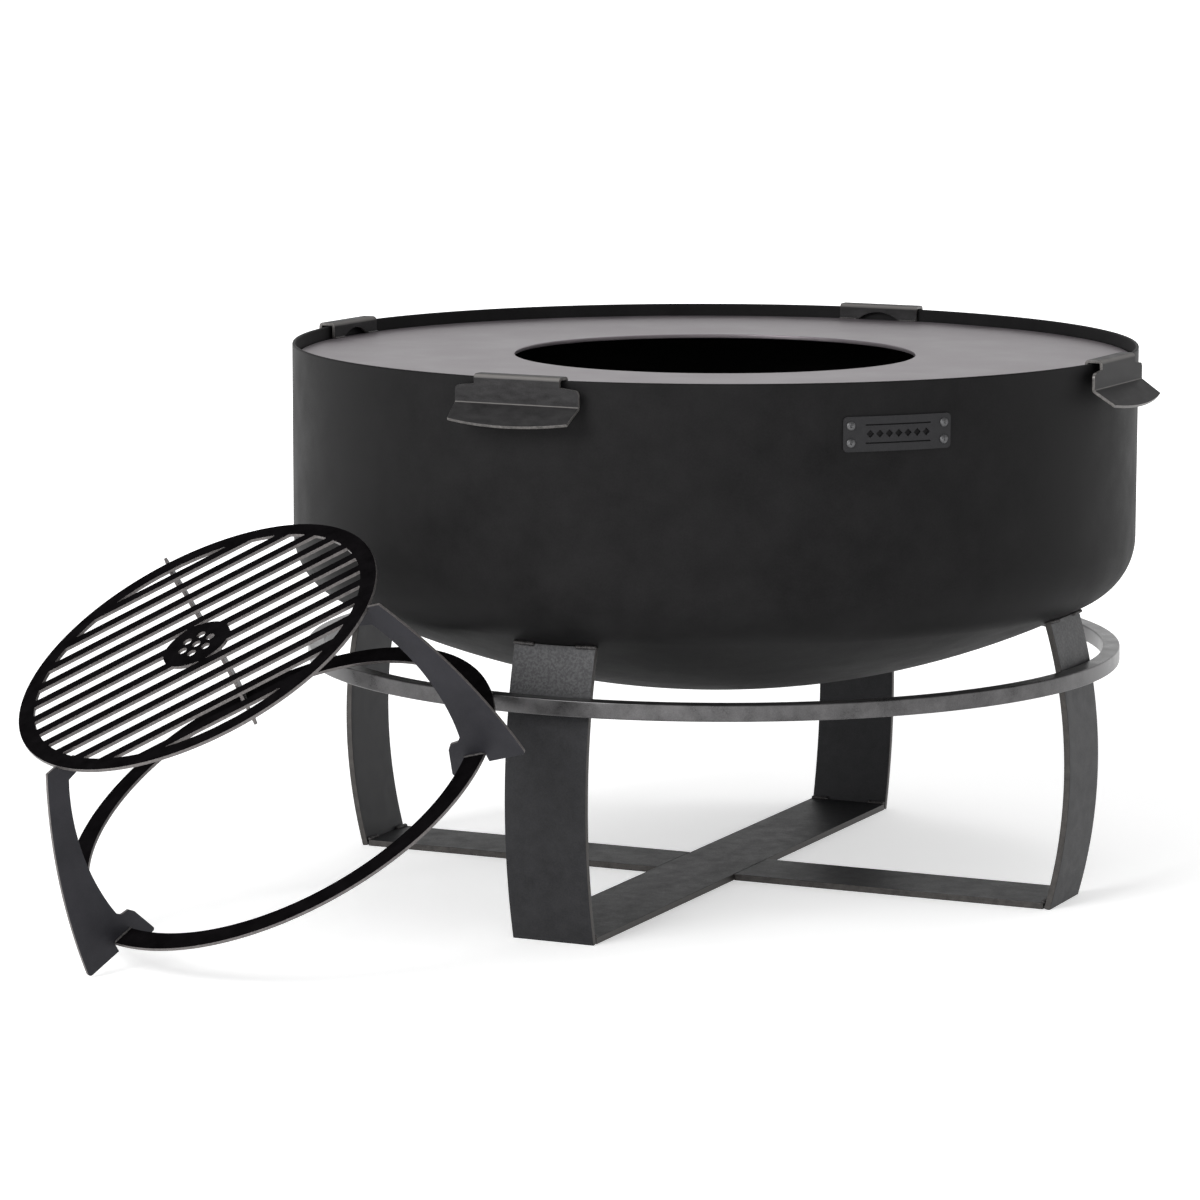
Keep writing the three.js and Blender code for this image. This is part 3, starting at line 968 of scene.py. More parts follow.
@dataclass
class Tag:
    """The small curved tag on the wall and its four rivets, with a plain cut pattern."""

    finishes: Finishes
    bowl: Bowl
    rivet: BlindRivet = BlindRivet()
    azimuth: float = -66.3
    width: float = 104.0
    height: float = 31.0
    thickness: float = 1.2
    stand_off: float = 0.4
    edge: float = 0.25
    middle_z: float = 465.5
    corner: float = 4.0
    bends: int = 24
    rivet_inset: float = 7.0
    rivet_pitch: float = 15.0
    rivet_hole: float = 2.2
    hole_steps: int = 20
    corner_steps: int = 6
    diamonds: int = 7
    diamond: float = 3.6
    diamond_pitch: float = 9.0
    slot_rise: float = 8.0
    slot_half: float = 0.6

    def cuts(self) -> list[list[Point]]:
        """Draw a row of diamonds between two fine slots.

        Returns:
            The outlines of the cuts.
        """
        size, half = self.diamond, self.slot_half
        outlines = []
        for i in range(self.diamonds):
            x = self.diamond_pitch * (i - (self.diamonds - 1) / 2)
            outlines.append([(x - size, 0.0), (x, -size), (x + size, 0.0), (x, size)])
        reach = self.diamond_pitch * self.diamonds / 2
        for y in (-self.slot_rise, self.slot_rise):
            outlines.append(rounded(box_outline(-reach, reach, y - half, y + half), half))
        return outlines

    def spots(self) -> list[Point]:
        """Where the rivets sit, along and up the tag from its middle."""
        x, y = self.width / 2 - self.rivet_inset, self.rivet_pitch / 2
        return [(-x, -y), (-x, y), (x, -y), (x, y)]

    def build(self) -> None:
        """Model the tag and its rivets."""
        half_x, half_y = self.width / 2, self.height / 2
        outline = rounded(box_outline(-half_x, half_x, -half_y, half_y), self.corner, self.corner_steps)
        holes = [circle(self.rivet_hole, self.hole_steps, x, y) for x, y in self.spots()]
        bm = cut_flat([outline, *holes, *self.cuts()])
        for i in range(1, self.bends):
            at = (-half_x + self.width * i / self.bends, 0, 0)
            geometry = bm.verts[:] + bm.edges[:] + bm.faces[:]
            bmesh.ops.bisect_plane(bm, geom=geometry, dist=CUT_NEAR, plane_co=at, plane_no=(1, 0, 0))
        middle = self.bowl.radius + self.stand_off + self.thickness / 2
        for vert in bm.verts:
            angle = math.radians(self.azimuth) + vert.co.x / self.bowl.radius
            vert.co = (middle * math.cos(angle), middle * math.sin(angle), self.middle_z + vert.co.y)
        berth = Berth(Body.PIT, "tag_steel", ("name_tag",))
        piece = place("name_tag_plate", bm, [self.finishes.tag, self.finishes.tag], berth)
        thicken(piece, self.thickness, self.edge)
        for number, (x, y) in enumerate(self.spots(), start=1):
            self.set_rivet(number, x, y)

    def set_rivet(self, number: int, x: float, y: float) -> None:
        """Model one rivet through the tag and the wall.

        Args:
            number: Its number.
            x: Its place along the tag.
            y: Its place up the tag.
        """
        face = self.bowl.radius + self.thickness + self.stand_off
        profile = self.rivet.profile(face, self.bowl.radius - self.bowl.wall)
        bm = turned(profile, self.rivet.steps, ring=False)
        turn = spun(self.azimuth + math.degrees(x / self.bowl.radius))
        berth = Berth(Body.PIT, "tag_steel", (f"tag_rivet_{number}",))
        where = shifted(0, 0, self.middle_z + y) @ turn @ OUTWARD
        piece = place(f"blind_rivet_{number}", bm, [self.finishes.rivet], berth, where)
        even_out(piece)


# ------------------------------------------------------------------------------- stand
@dataclass(frozen=True)
class Seam:
    """One kind of short weld on both halves of a leg: where it lies and how thick it is."""

    start: float
    end: float
    out: float
    up: float
    size: float


@dataclass
class Stand:
    """Four bowed legs, the ring round them and the crossed bars that join their feet."""

    finishes: Finishes
    bowl: Bowl
    welder: Welder
    first_azimuth: float = -113.4
    width: float = 80.0
    thickness: float = 6.0
    foot_reach: float = 358.2
    belly_reach: float = 375.8
    belly_z: float = 128.4
    gap: float = 0.3
    edge: float = 0.7
    leg_columns: int = 13
    leg_rows: int = 32
    halvings: int = 30
    ring_corner: float = 1.3
    ring_steps: int = 240
    top_seam: Seam = Seam(start=1.5, end=18.0, out=0.4, up=0.2, size=2.7)
    foot_seam: Seam = Seam(start=2.0, end=16.0, out=-0.8, up=0.8, size=2.6)
    ring_seam: Seam = Seam(start=2.0, end=34.0, out=0.8, up=-0.6, size=1.9)

    @property
    def bow(self) -> float:
        """The radius of the legs' outer face."""
        depth = self.belly_reach - self.foot_reach
        return (depth**2 + self.belly_z**2) / (2 * depth)

    def reach(self, z: float, inset: float = 0.0) -> float:
        """How far a leg's outer face, set in by inset, stands from the axis at a height."""
        return self.belly_reach - self.bow + math.sqrt((self.bow - inset) ** 2 - (z - self.belly_z) ** 2)

    def top(self, across: float) -> float:
        """Find the height at which a leg's middle meets the bowl.

        Args:
            across: The distance from the leg's centre line.

        Returns:
            The height there.
        """
        low, high = self.belly_z, self.bowl.knuckle_z
        for _ in range(self.halvings):
            z = (low + high) / 2
            radius = math.hypot(self.reach(z, self.thickness / 2), across)
            if z < self.bowl.underside(radius):
                low = z
            else:
                high = z
        return low

    def build(self) -> None:
        """Model the stand."""
        for corner in Corner:
            self.leg(corner)
        self.ring()
        half = self.reach(0.0, self.thickness) - self.gap
        side = self.width / 2 + self.gap
        self.bar("long", -half, half, self.first_azimuth)
        self.bar("right", side, half, self.first_azimuth + 90.0)
        self.bar("left", side, half, self.first_azimuth - 90.0)

    def leg(self, corner: Corner) -> None:
        """Model one leg and the welds that hold it.

        Args:
            corner: Which of the four it is.
        """
        columns = [2 * i / (self.leg_columns - 1) - 1 for i in range(self.leg_columns)]
        bm, grid = strip(columns, self.leg_rows)
        for i, row in enumerate(grid):
            for vert, column in zip(row, columns):
                across = column * self.width / 2
                z = self.top(across) * i / (self.leg_rows - 1)
                vert.co = (self.reach(z, self.thickness / 2), across, z)
        turn = spun(corner.azimuth(self.first_azimuth))
        berth = Berth(Body.PIT, "pit_steel", (f"leg_{corner.label}",))
        name = f"bowed_leg_{corner.label}"
        piece = place(name, bm, [self.finishes.leg, self.finishes.pit_edge], berth, turn)
        thicken(piece, self.thickness, self.edge)
        self.leg_welds(corner, turn)

    def leg_welds(self, corner: Corner, turn: Matrix) -> None:
        """Lay the beads at a leg's top corners, under the ring and inside its foot.

        Args:
            corner: Which leg it is.
            turn: The leg's turn about the axis.
        """
        berth = Berth(Body.PIT, "pit_steel")
        half = self.width / 2
        ring_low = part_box("stand_ring")[0][2] / MM
        seams = (
            ("top_weld", self.top_seam, lambda v: (self.reach(self.top(v)), self.top(v))),
            ("foot_weld", self.foot_seam, lambda v: (self.reach(0.0, self.thickness), self.thickness)),
            ("ring_weld", self.ring_seam, lambda v: (self.reach(ring_low), ring_low)),
        )
        for side, word in SIDES:
            for name, seam, spot in seams:
                ends = [side * (half - inset) for inset in (seam.start, seam.end)]
                path = [Vector((spot(v)[0] + seam.out, v, spot(v)[1] + seam.up)) for v in ends]
                self.welder.bead(f"{name}_{corner.label}_{word}", path, seam.size, berth, turn)

    def ring(self) -> None:
        """Model the flat ring that ties the legs together."""
        low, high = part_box("stand_ring")
        outer = high[0] / MM
        inner = math.hypot(self.reach(low[2] / MM), self.width / 2) + self.gap
        profile = rounded(box_outline(inner, outer, low[2] / MM, high[2] / MM), self.ring_corner)
        berth = Berth(Body.PIT, "pit_steel", ("stand_ring",))
        piece = place("tie_ring", turned(profile, self.ring_steps), [self.finishes.ring], berth)
        even_out(piece)

    def bar(self, word: str, start: float, end: float, azimuth: float) -> None:
        """Model one floor bar.

        Args:
            word: Its name's ending.
            start: Where it starts, from the axis.
            end: Where it ends.
            azimuth: Its direction, in degrees.
        """
        half = self.width / 2
        bm = cut_flat([box_outline(start, end, -half, half)])
        where = spun(azimuth) @ shifted(0, 0, self.thickness / 2)
        berth = Berth(Body.PIT, "pit_steel", (f"floor_bar_{word}",))
        finishes = [self.finishes.stand, self.finishes.pit_edge]
        piece = place(f"flat_floor_bar_{word}", bm, finishes, berth, where)
        thicken(piece, self.thickness, self.edge)


# ------------------------------------------------------------------------------- griddle
@dataclass
class Griddle:
    """The ring-shaped griddle plate and the four bent handles that hang it on the rim."""

    finishes: Finishes
    bowl: Bowl
    welder: Welder
    first_azimuth: float = -115.2
    sheet: float = 3.0
    bend: float = 2.5
    clearance: float = 4.5
    neck_half: float = 42.2
    flange_half: float = 60.9
    flange_drop: float = 23.0
    shoulder_drop: float = 5.5
    shoulder_slope: float = 1.5
    shoulder_radius: float = 4.5
    lip_angle: float = 33.0
    lip_length: float = 23.6
    lip_taper: float = 2.0
    lip_bulge: float = 7.0
    arch_half: float = 22.0
    arch_rise: float = 7.5
    arch_margin: float = 1.2
    arch_steps: int = 8
    side_columns: tuple[float, ...] = (0.62, 0.75, 0.9, 1.0)
    lip_rows: tuple[float, ...] = (0.25, 0.6, 1.0)
    rim_bend_steps: int = 5
    lip_bend_steps: int = 4
    lip_bend_margin: float = 3.0
    # how much of the painted highlight the ends of each bend get
    rim_bend_highlight: float = 0.35
    lip_bend_highlight: float = 0.45
    sheet_edge: float = 0.35
    hole: float = 190.0
    plate_edge: float = 0.9
    plate_steps: int = 240
    rim_facets: int = 72
    weld_size: float = 1.6
    weld_inset: float = 2.0
    weld_clear: float = 3.0
    weld_off: float = 0.6
    weld_rise: float = 0.5
    gap: float = 0.3

    def build(self) -> None:
        """Model the griddle."""
        low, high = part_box("griddle_plate")
        outline = box_outline(self.hole, high[0] / MM, low[2] / MM, high[2] / MM)
        blank = turned(rounded(outline, self.plate_edge), self.plate_steps)
        berth = Berth(Body.GRIDDLE, "griddle_steel", ("griddle_plate",))
        plate = place("cooking_plate", blank, [self.finishes.griddle], berth)
        even_out(plate)
        for corner in Corner:
            self.handle(corner, high[2] / MM)

    @staticmethod
    def highlight_profile(steps: int, least: float) -> list[float]:
        """How much painted highlight each row of a bend gets, least at its ends and fully in its middle.
        """
        return [least + (1.0 - least) * math.sin(math.pi * i / steps) for i in range(steps + 1)]

    def over_the_rim(self, plate_z: float) -> list[Row]:
        """Follow the middle of a handle's sheet from the plate over the rim.

        Args:
            plate_z: The height of the griddle's top.

        Returns:
            For each row the distance from the axis, the height, the share of painted highlight and half
            of the width.
        """
        facet = (self.bowl.radius - self.bowl.wall) * math.cos(math.pi / self.rim_facets)
        inner = math.sqrt((facet - self.gap) ** 2 - self.neck_half**2) - self.bend
        outer = self.bowl.radius + self.clearance + self.sheet / 2
        top = self.bowl.rim_z + self.gap + self.sheet / 2
        steps, half = self.rim_bend_steps, self.neck_half
        highlight_profile = self.highlight_profile(steps, self.rim_bend_highlight)
        above_arch = plate_z + self.arch_rise + self.arch_margin
        rows = [(inner, plate_z + self.gap, 0.0, half), (inner, above_arch, 0.0, half)]
        for middle, start in ((inner + self.bend, 180.0), (outer - self.bend, 90.0)):
            bend = arc(middle, top - self.bend, self.bend, start, start - 90.0, steps)
            rows += [(u, z, highlight_share, half) for (u, z), highlight_share in zip(bend, highlight_profile)]
        return rows

    def down_the_flange(self, outer: float, slope: Vector) -> list[Row]:
        """Follow the middle of a handle's sheet down its outer flange and along its lip.

        Args:
            outer: The flange's distance from the axis.
            slope: The lip's direction.

        Returns:
            For each row the distance from the axis, the height, the wear and half of the width.
        """
        shoulder = self.bowl.rim_z - self.shoulder_drop
        corner_z = shoulder - self.shoulder_slope - self.shoulder_radius
        rows = [(outer, shoulder, 0.0, self.neck_half)]
        start = self.flange_half - self.shoulder_radius
        side = arc(start, corner_z, self.shoulder_radius, 90.0, 0.0, self.rim_bend_steps)
        rows += [(outer, z, 0.0, half) for half, z in side]
        bend_z = self.bowl.rim_z - self.flange_drop
        swing = math.radians(90.0 - self.lip_angle)
        tuck = self.bend * math.tan(swing / 2)
        rows.append((outer, bend_z + tuck + self.lip_bend_margin, 0.0, self.flange_half))
        for i, highlight_share in enumerate(self.highlight_profile(self.lip_bend_steps, self.lip_bend_highlight)):
            angle = swing * i / self.lip_bend_steps
            u = outer + self.bend * (1 - math.cos(angle))
            z = bend_z + tuck - self.bend * math.sin(angle)
            rows.append((u, z, highlight_share, self.flange_half))
        for share in self.lip_rows:
            at = Vector((outer, bend_z)) + slope * self.lip_length * share
            rows.append((at.x, at.y, 0.0, self.flange_half - self.lip_taper * share))
        return rows

    def handle(self, corner: Corner, plate_z: float) -> None:
        """Model one handle.

        Args:
            corner: Which of the four it is.
            plate_z: The height of the griddle's top.
        """
        lip = math.radians(self.lip_angle)
        slope = Vector((math.cos(lip), -math.sin(lip)))
        rows = self.over_the_rim(plate_z)
        rows += self.down_the_flange(rows[-1][0], slope)
        arch = self.arch_half / self.neck_half
        steps = self.arch_steps
        inside = [math.sin(math.radians(90.0 * i / steps)) * arch for i in range(-steps, steps + 1)]
        columns = [*(-side for side in reversed(self.side_columns)), *inside, *self.side_columns]
        bm, grid = strip(columns, len(rows))
        bend_highlight = bm.verts.layers.float["bend_highlight"]
        arch_radius = (self.arch_half**2 + self.arch_rise**2) / (2 * self.arch_rise)
        end_half = self.flange_half - self.lip_taper
        end_radius = (end_half**2 + self.lip_bulge**2) / (2 * self.lip_bulge)
        for number, (row, (u, z, highlight_share, half)) in enumerate(zip(grid, rows)):
            for vert, column in zip(row, columns):
                across = column * half
                out, up = u, z
                if number == 0 and abs(across) < self.arch_half:
                    up += math.sqrt(arch_radius**2 - across**2) - arch_radius + self.arch_rise
                if number == len(rows) - 1:
                    more = math.sqrt(end_radius**2 - across**2) - end_radius + self.lip_bulge
                    out += slope.x * more
                    up += slope.y * more
                vert.co = (out, across, up)
                vert[bend_highlight] = highlight_share
        turn = spun(corner.azimuth(self.first_azimuth))
        berth = Berth(Body.GRIDDLE, "handle_steel", (f"handle_{corner.label}",))
        finishes = [self.finishes.handle, self.finishes.handle_edge]
        piece = place(f"bent_handle_{corner.label}", bm, finishes, berth, turn)
        thicken(piece, self.sheet, self.sheet_edge)
        self.welds(corner, plate_z, rows[0][0], turn)

    def welds(self, corner: Corner, plate_z: float, inner: float, turn: Matrix) -> None:
        """Lay the two beads that hold a handle to the plate.

        Args:
            corner: Which handle it is.
            plate_z: The height of the griddle's top.
            inner: The distance of its inner flange's middle from the axis.
            turn: The handle's turn about the axis.
        """
        berth = Berth(Body.GRIDDLE, "handle_steel")
        u, z = inner - self.sheet / 2 - self.weld_off, plate_z + self.weld_rise
        for side, word in SIDES:
            ends = (self.neck_half - self.weld_inset, self.arch_half + self.weld_clear)
            path = [Vector((u, side * end, z)) for end in ends]
            name = f"handle_weld_{corner.label}_{word}"
            self.welder.bead(name, path, self.weld_size, berth, turn)


# ------------------------------------------------------------------------------- grate
@dataclass(frozen=True)
class SheetLeg:
    """The sizes of the grate's sheet legs: shelf, shank, foot and tab."""

    thickness: float = 3.0
    top_reach: float = 12.0
    foot_reach: float = 36.8
    bulge: float = 9.0
    outer_steps: int = 24
    inner_steps: int = 20
    foot_radius: float = 4.0
    foot_width: float = 4.0
    foot_steps: int = 5
    tab_width: float = 19.0
    tab_drop: float = 8.0
    tab_play: float = 0.5
    tab_slope_reach: float = 9.0
    tab_slope_top: float = 20.0
    tab_radius: float = 2.5
    tab_top: float = 25.0
    tab_round: float = 4.0
    heel_in: float = 1.0
    heel_rise: float = 1.0
    heel_out: float = 5.0
    heel_top: float = 5.0
    shank_in: float = 6.0
    shank_z: float = 37.0
    shank_head_drop: float = 21.7
    waist: float = 1.0
    shelf_width: float = 20.0
    shelf_height: float = 12.7
    shelf_round: float = 4.0
    shelf_root_height: float = 14.7


@dataclass
class Grate:
    """The round slotted grate on its ring and three sheet legs, leaning on the stand."""

    finishes: Finishes
    welder: Welder
    sheet_leg: SheetLeg = SheetLeg()
    lean_azimuth: float = -137.4
    tilt: float = 32.0
    spin: float = -91.7
    height: float = 179.2
    disc_radius: float = 172.6
    disc_sheet: float = 3.0
    disc_rim: float = 15.0
    slot_width: float = 15.2
    slot_pitch: float = 25.8
    slot_pairs: int = 6
    hub: float = 32.0
    hub_hole: float = 4.2
    hub_holes: int = 6
    hub_holes_radius: float = 13.5
    slot_azimuth: float = 150.0
    slot_steps: int = 6
    slot_corner: float = 1.0
    sliver: float = 0.4
    steps: int = 200
    hole_steps: int = 32
    ring_radius: float = 209.6
    ring_width: float = 20.4
    ring_sheet: float = 3.0
    ring_z: float = 6.6
    legs: int = 3
    edge: float = 0.3
    weld_size: float = 1.3
    weld_off: float = 0.5
    weld_inset: float = 2.0
    gap: float = 0.3

    @property
    def stance(self) -> Matrix:
        """The grate's own frame in the pit's, found from the ring's solid."""
        corners = [v.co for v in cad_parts["grate_ring"].data.vertices]
        centre = sum(corners, Vector()) / len(corners) / MM
        turn = spun(self.lean_azimuth + 90.0) @ Matrix.Rotation(math.radians(self.tilt), 4, "X")
        return Matrix.Translation(centre) @ turn @ shifted(0, 0, -self.ring_z - self.ring_sheet / 2)

    @property
    def slot_turn(self) -> Matrix:
        """The turn of the slots about the grate's axis."""
        return spun(self.spin + self.slot_azimuth)

    def berth(self, *nodes: str) -> Berth:
        """A berth on the grate's body, for the nodes named."""
        return Berth(Body.GRATE, "grate_steel", nodes)

    def build(self) -> None:
        """Model the grate."""
        self.disc()
        self.ring()
        for number in range(self.legs):
            self.leg(number + 1, self.spin + 360.0 * number / self.legs)

    def sheet_piece(
        self, name: str, bm: BMesh, face: Material, thickness: float, where: Matrix, *nodes: str
    ) -> Object:
        """Place a flat-cut piece of the grate and give it its thickness.

        Args:
            name: The piece's name.
            bm: The flat blank.
            face: The finish of its faces.
            thickness: Its thickness, in millimetres.
            where: Its place in the grate's own frame.
            *nodes: The nodes it stands for.

        Returns:
            The piece.
        """
        piece = place(name, bm, [face, self.finishes.grate_edge], self.berth(*nodes), self.stance @ where)
        thicken(piece, thickness, self.edge)
        return piece

    def slot(self, y: float) -> list[list[Point]]:
        """The outlines of one slot, which the hub parts into two.

        Args:
            y: The slot's distance from the grate's axis.

        Returns:
            One or two outlines.
        """
        rim = self.disc_radius - self.disc_rim
        low, high = y - self.slot_width / 2, y + self.slot_width / 2
        low, high = max(low, self.sliver - rim), min(high, rim - self.sliver)
        steps, corner = self.slot_steps, self.slot_corner
        levels = [low + (high - low) * i / steps for i in range(steps + 1)]

        def edge(radius: float, side: int) -> list[Point]:
            """The points up one end of the slot, on a circle."""
            return [(side * math.sqrt(max(radius**2 - level**2, 0.0)), level) for level in levels]

        if min(abs(low), abs(high)) > self.hub:
            return [rounded([*edge(rim, -1), *reversed(edge(rim, 1))], corner)]
        halves = ([*edge(rim, side), *reversed(edge(self.hub, side))] for side in (-1, 1))
        return [rounded(half, corner) for half in halves]

    def disc(self) -> None:
        """Model the slotted disc."""
        outlines = [circle(self.disc_radius, self.steps), circle(self.hub_hole, self.hole_steps)]
        for x, y in circle(self.hub_holes_radius, self.hub_holes):
            outlines.append(circle(self.hub_hole, self.hole_steps, x, y))
        for k in range(-self.slot_pairs, self.slot_pairs + 1):
            outlines += self.slot(k * self.slot_pitch)
        where = self.slot_turn @ shifted(0, 0, self.height - self.disc_sheet / 2)
        bm = cut_flat(outlines)
        face = self.finishes.grate_top
        self.sheet_piece("slotted_disc", bm, face, self.disc_sheet, where, "grate_disc")

    def ring(self) -> None:
        """Model the flat ring that the legs stand in."""
        radii = (self.ring_radius, self.ring_radius - self.ring_width)
        outlines = [circle(radius, self.steps) for radius in radii]
        where = shifted(0, 0, self.ring_z + self.ring_sheet / 2)
        bm = cut_flat(outlines)
        face = self.finishes.grate_top
        self.sheet_piece("foot_ring", bm, face, self.ring_sheet, where, "grate_ring")

    def leg_outline(self) -> list[Point]:
        """Draw a leg.

        Returns:
            Its outline, distance from the axis and height above the feet.
        """
        leg = self.sheet_leg
        disc_side = self.disc_radius + 2 * self.gap
        shelf_z = self.height - self.disc_sheet - self.gap
        head = (self.disc_radius + leg.top_reach, self.height)
        outer_edge = bowed(head, (self.ring_radius + leg.foot_reach, 0.0), leg.bulge, leg.outer_steps)
        foot_in = (self.ring_radius + leg.foot_width, 0.0)
        foot = rounded_corner(outer_edge[-2], outer_edge[-1], foot_in, leg.foot_radius, leg.foot_steps)

        notch = self.ring_radius + self.gap
        ring_top = self.ring_z + self.ring_sheet + self.gap
        ring_in = self.ring_radius - self.ring_width
        tab_out = ring_in - self.gap - leg.tab_play
        tab_in = tab_out - leg.tab_width
        slope_top = (tab_in + leg.tab_slope_reach, leg.tab_slope_top)
        tab = [(tab_out, ring_top), (tab_out, -leg.tab_drop), (tab_in, -leg.tab_drop), slope_top]
        heel = [
            (slope_top[0] + leg.tab_round, leg.tab_top),
            (ring_in + leg.heel_in, leg.tab_top + leg.heel_rise),
            (ring_in + leg.heel_out, leg.tab_top + leg.heel_top),
        ]

        waist = self.disc_radius + leg.waist
        shank_top = (waist, shelf_z - leg.shank_head_drop)
        shank_foot = (ring_in + leg.shank_in, leg.shank_z)
        inner_edge = bowed(shank_foot, shank_top, -leg.bulge, leg.inner_steps)
        shelf_in = waist - leg.shelf_width
        shelf = [
            (waist - leg.shelf_round, shelf_z - leg.shelf_root_height),
            (shelf_in, shelf_z - leg.shelf_height),
            (shelf_in, shelf_z),
            (disc_side, shelf_z),
        ]
        outside = [(disc_side, self.height), *outer_edge[:-1], *foot, (notch, 0.0), (notch, ring_top)]
        return [*outside, *rounded_run(tab, leg.tab_radius), *heel, *inner_edge, *shelf]

    def leg(self, number: int, spin: float) -> None:
        """Model one sheet leg and its welds.

        Args:
            number: Its number.
            spin: Its direction in the grate's own frame, in degrees.
        """
        bm = cut_flat([self.leg_outline()])
        where = spun(spin) @ UPRIGHT
        face, sheet = self.finishes.grate_leg, self.sheet_leg.thickness
        self.sheet_piece(f"sheet_leg_{number}", bm, face, sheet, where, f"grate_leg_{number}")
        top = self.ring_z + self.ring_sheet + self.weld_off
        inner = self.ring_radius - self.ring_width + self.weld_inset
        outer = self.ring_radius - self.weld_inset
        turn = self.stance @ spun(spin)
        for side, word in SIDES:
            y = side * (sheet / 2 + self.weld_off)
            path = [Vector((u, y, top)) for u in (inner, outer)]
            self.welder.bead(f"leg_weld_{number}_{word}", path, self.weld_size, self.berth(), turn)


# ------------------------------------------------------------------------------- studio
@dataclass(frozen=True)
class Lamp:
    """One soft rectangular lamp: where it hangs and shines, its size and its power in watts."""

    name: str
    at: Place
    aim: Place
    size: Point
    power: float

    def hang(self) -> None:
        """Add the lamp to the scene."""
        data = bpy.data.lights.new(self.name, "AREA")
        data.shape = "RECTANGLE"
        data.size, data.size_y = self.size
        data.energy = self.power
        lamp = bpy.data.objects.new(self.name, data)
        lamp.location = self.at
        lamp.rotation_euler = (Vector(self.aim) - Vector(self.at)).to_track_quat("-Z", "Y").to_euler()
        bpy.context.collection.objects.link(lamp)


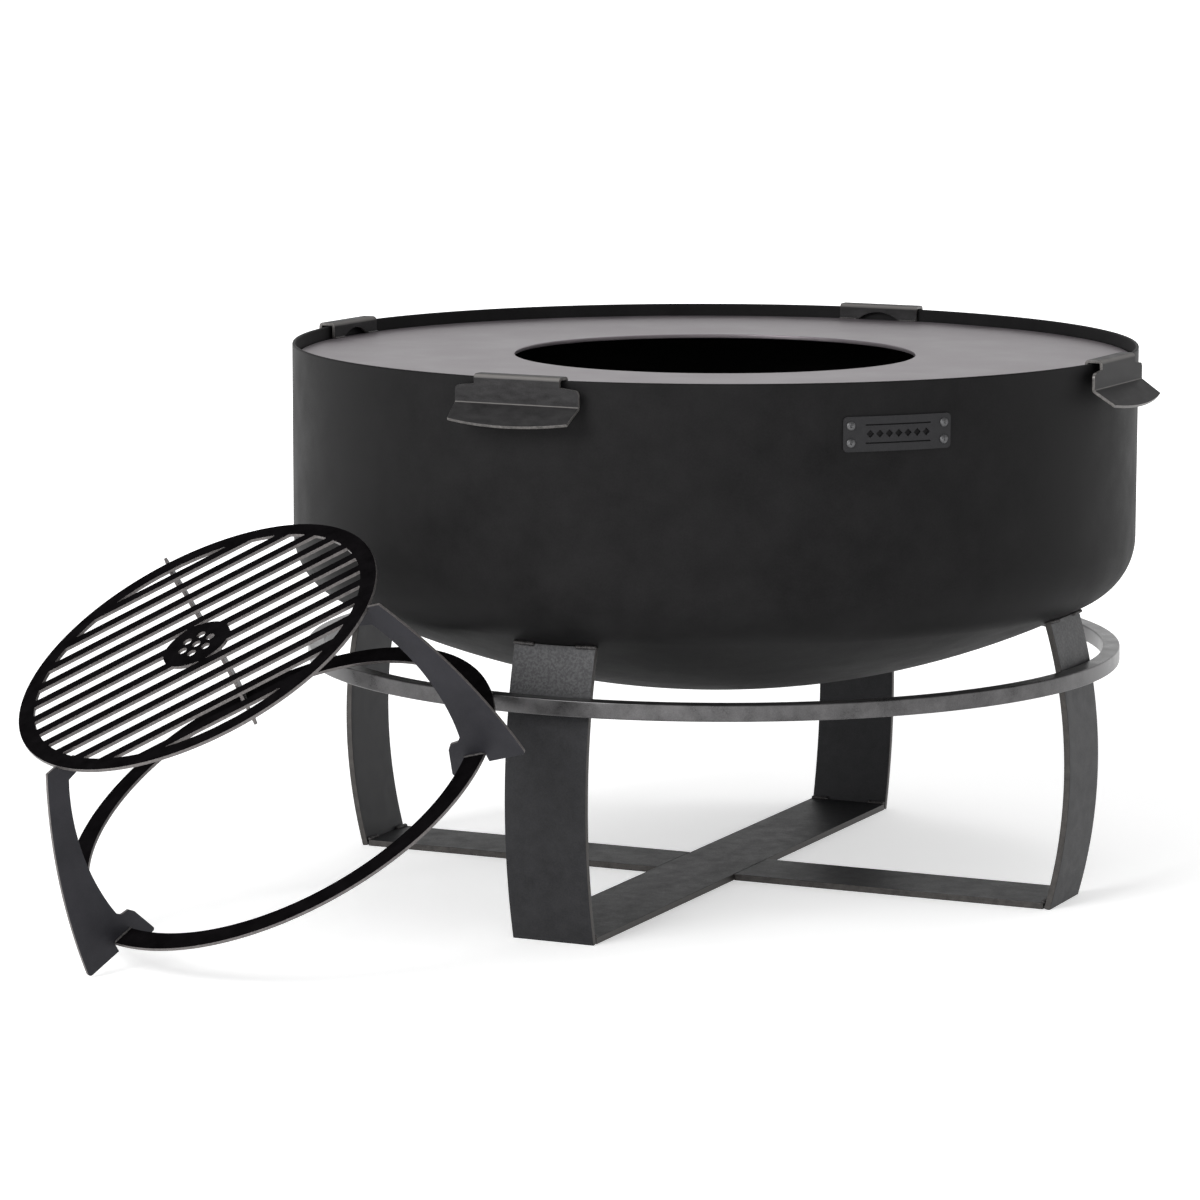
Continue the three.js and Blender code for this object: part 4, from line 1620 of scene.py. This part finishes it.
@dataclass
class Studio:
    """The pale floor, which glows as painted light, the soft lights and the camera, in metres."""

    camera_at: Place = (0.0, -4.6275, 0.951)
    yaw: float = -1.342
    pitch: float = 8.473
    roll: float = 0.108
    lens: float = 146.8
    sensor: float = 36.0
    sight: float = 100.0
    ceiling_light: float = 0.22
    horizon_light: float = 1.1
    horizon_band: Point = (0.25, 0.6)
    floor_half: float = 30.0
    floor_grey: float = 0.93
    floor_roughness: float = 0.9
    floor_specular: float = 0.1
    # the floor's glow, from its strength near the pit to far off: painted light
    glow_band: Point = (0.8, 3.0)
    glow: Point = (0.45, 1.1)
    lamps: tuple[Lamp, ...] = (
        Lamp("key", (-2.4, -2.8, 2.2), (0, 0, 0.3), (2.0, 2.0), 120.0),
        Lamp("top", (0.4, 0.8, 3.4), (0, 0, 0.4), (3.0, 2.4), 35.0),
        Lamp("side", (3.2, -0.8, 1.2), (0, 0, 0.25), (1.2, 2.2), 3.0),
        Lamp("front", (-0.1, -4.4, 0.5), (0, 0, 0.25), (1.1, 0.5), 14.0),
    )

    def camera(self) -> None:
        """Set up the camera."""
        psi, theta = math.radians(self.yaw), math.radians(self.pitch)
        level = math.cos(theta)
        ahead = Vector((math.sin(psi) * level, math.cos(psi) * level, -math.sin(theta)))
        right = Vector((math.cos(psi), -math.sin(psi), 0.0))
        up = right.cross(ahead)
        turn = Matrix((right, up, -ahead)).transposed().to_4x4()
        data = bpy.data.cameras.new("camera")
        data.lens = self.lens
        data.sensor_width = self.sensor
        data.clip_end = self.sight
        camera = bpy.data.objects.new("camera", data)
        roll = Matrix.Rotation(math.radians(self.roll), 4, "Z")
        camera.matrix_world = Matrix.Translation(self.camera_at) @ turn @ roll
        bpy.context.collection.objects.link(camera)
        bpy.context.scene.camera = camera

    def floor(self) -> None:
        """Lay the floor, which glows, weakest near the pit and brightest far off: painted light that also
        lights the pit from below.
        """
        bm = bmesh.new()
        bmesh.ops.create_grid(bm, x_segments=1, y_segments=1, size=self.floor_half)
        mesh = bpy.data.meshes.new("studio_floor")
        bm.to_mesh(mesh)
        bm.free()
        wiring = Wiring("glowing_floor")
        grey = self.floor_grey
        wiring.shader.inputs["Base Color"].default_value = (grey, grey, grey, 1.0)
        wiring.shader.inputs["Roughness"].default_value = self.floor_roughness
        wiring.shader.inputs["Specular IOR Level"].default_value = self.floor_specular
        wiring.shader.inputs["Emission Color"].default_value = WHITE
        distance = wiring.nodes.new("ShaderNodeVectorMath")
        distance.operation = "LENGTH"
        wiring.links.new(wiring.place, distance.inputs[0])
        glow = wiring.span(distance.outputs["Value"], self.glow_band, self.glow)
        wiring.links.new(glow, wiring.shader.inputs["Emission Strength"])
        mesh.materials.append(wiring.material)
        floor = bpy.data.objects.new("studio_floor", mesh)
        bpy.context.collection.objects.link(floor)

    def build(self) -> None:
        """Set up the floor, lights and camera."""
        self.floor()
        self.camera()
        world = bpy.data.worlds.new("white_room")
        world.use_nodes = True
        background = world.node_tree.nodes["Background"]
        background.inputs["Color"].default_value = WHITE
        self.brighten_horizon(world, background)
        scene = bpy.context.scene
        scene.world = world
        scene.view_settings.view_transform = "Standard"
        for lamp in self.lamps:
            lamp.hang()

    def brighten_horizon(self, world: World, background: Node) -> None:
        """Make the room brighter all round at eye level than overhead.

        Args:
            world: The room.
            background: Its shader.
        """
        nodes, links = world.node_tree.nodes, world.node_tree.links
        direction = nodes.new("ShaderNodeTexCoord")
        split = nodes.new("ShaderNodeSeparateXYZ")
        height = nodes.new("ShaderNodeMath")
        height.operation = "ABSOLUTE"
        level = nodes.new("ShaderNodeMapRange")
        level.inputs["From Min"].default_value, level.inputs["From Max"].default_value = self.horizon_band
        level.inputs["To Min"].default_value = self.horizon_light
        level.inputs["To Max"].default_value = self.ceiling_light
        links.new(direction.outputs["Generated"], split.inputs["Vector"])
        links.new(split.outputs["Z"], height.inputs[0])
        links.new(height.outputs["Value"], level.inputs["Value"])
        links.new(level.outputs["Result"], background.inputs["Strength"])


def main() -> None:
    """Build every sub-assembly in order, then the studio."""
    logging.basicConfig(level=logging.INFO, format="%(name)s %(message)s")
    finishes = Finishes()
    welder = Welder(finishes.weld)
    bowl = Bowl(finishes)
    bowl.build()
    Tag(finishes, bowl).build()
    Stand(finishes, bowl, welder).build()
    Griddle(finishes, bowl, welder).build()
    Grate(finishes, welder).build()
    Studio().build()


if __name__ == "__main__":
    main()
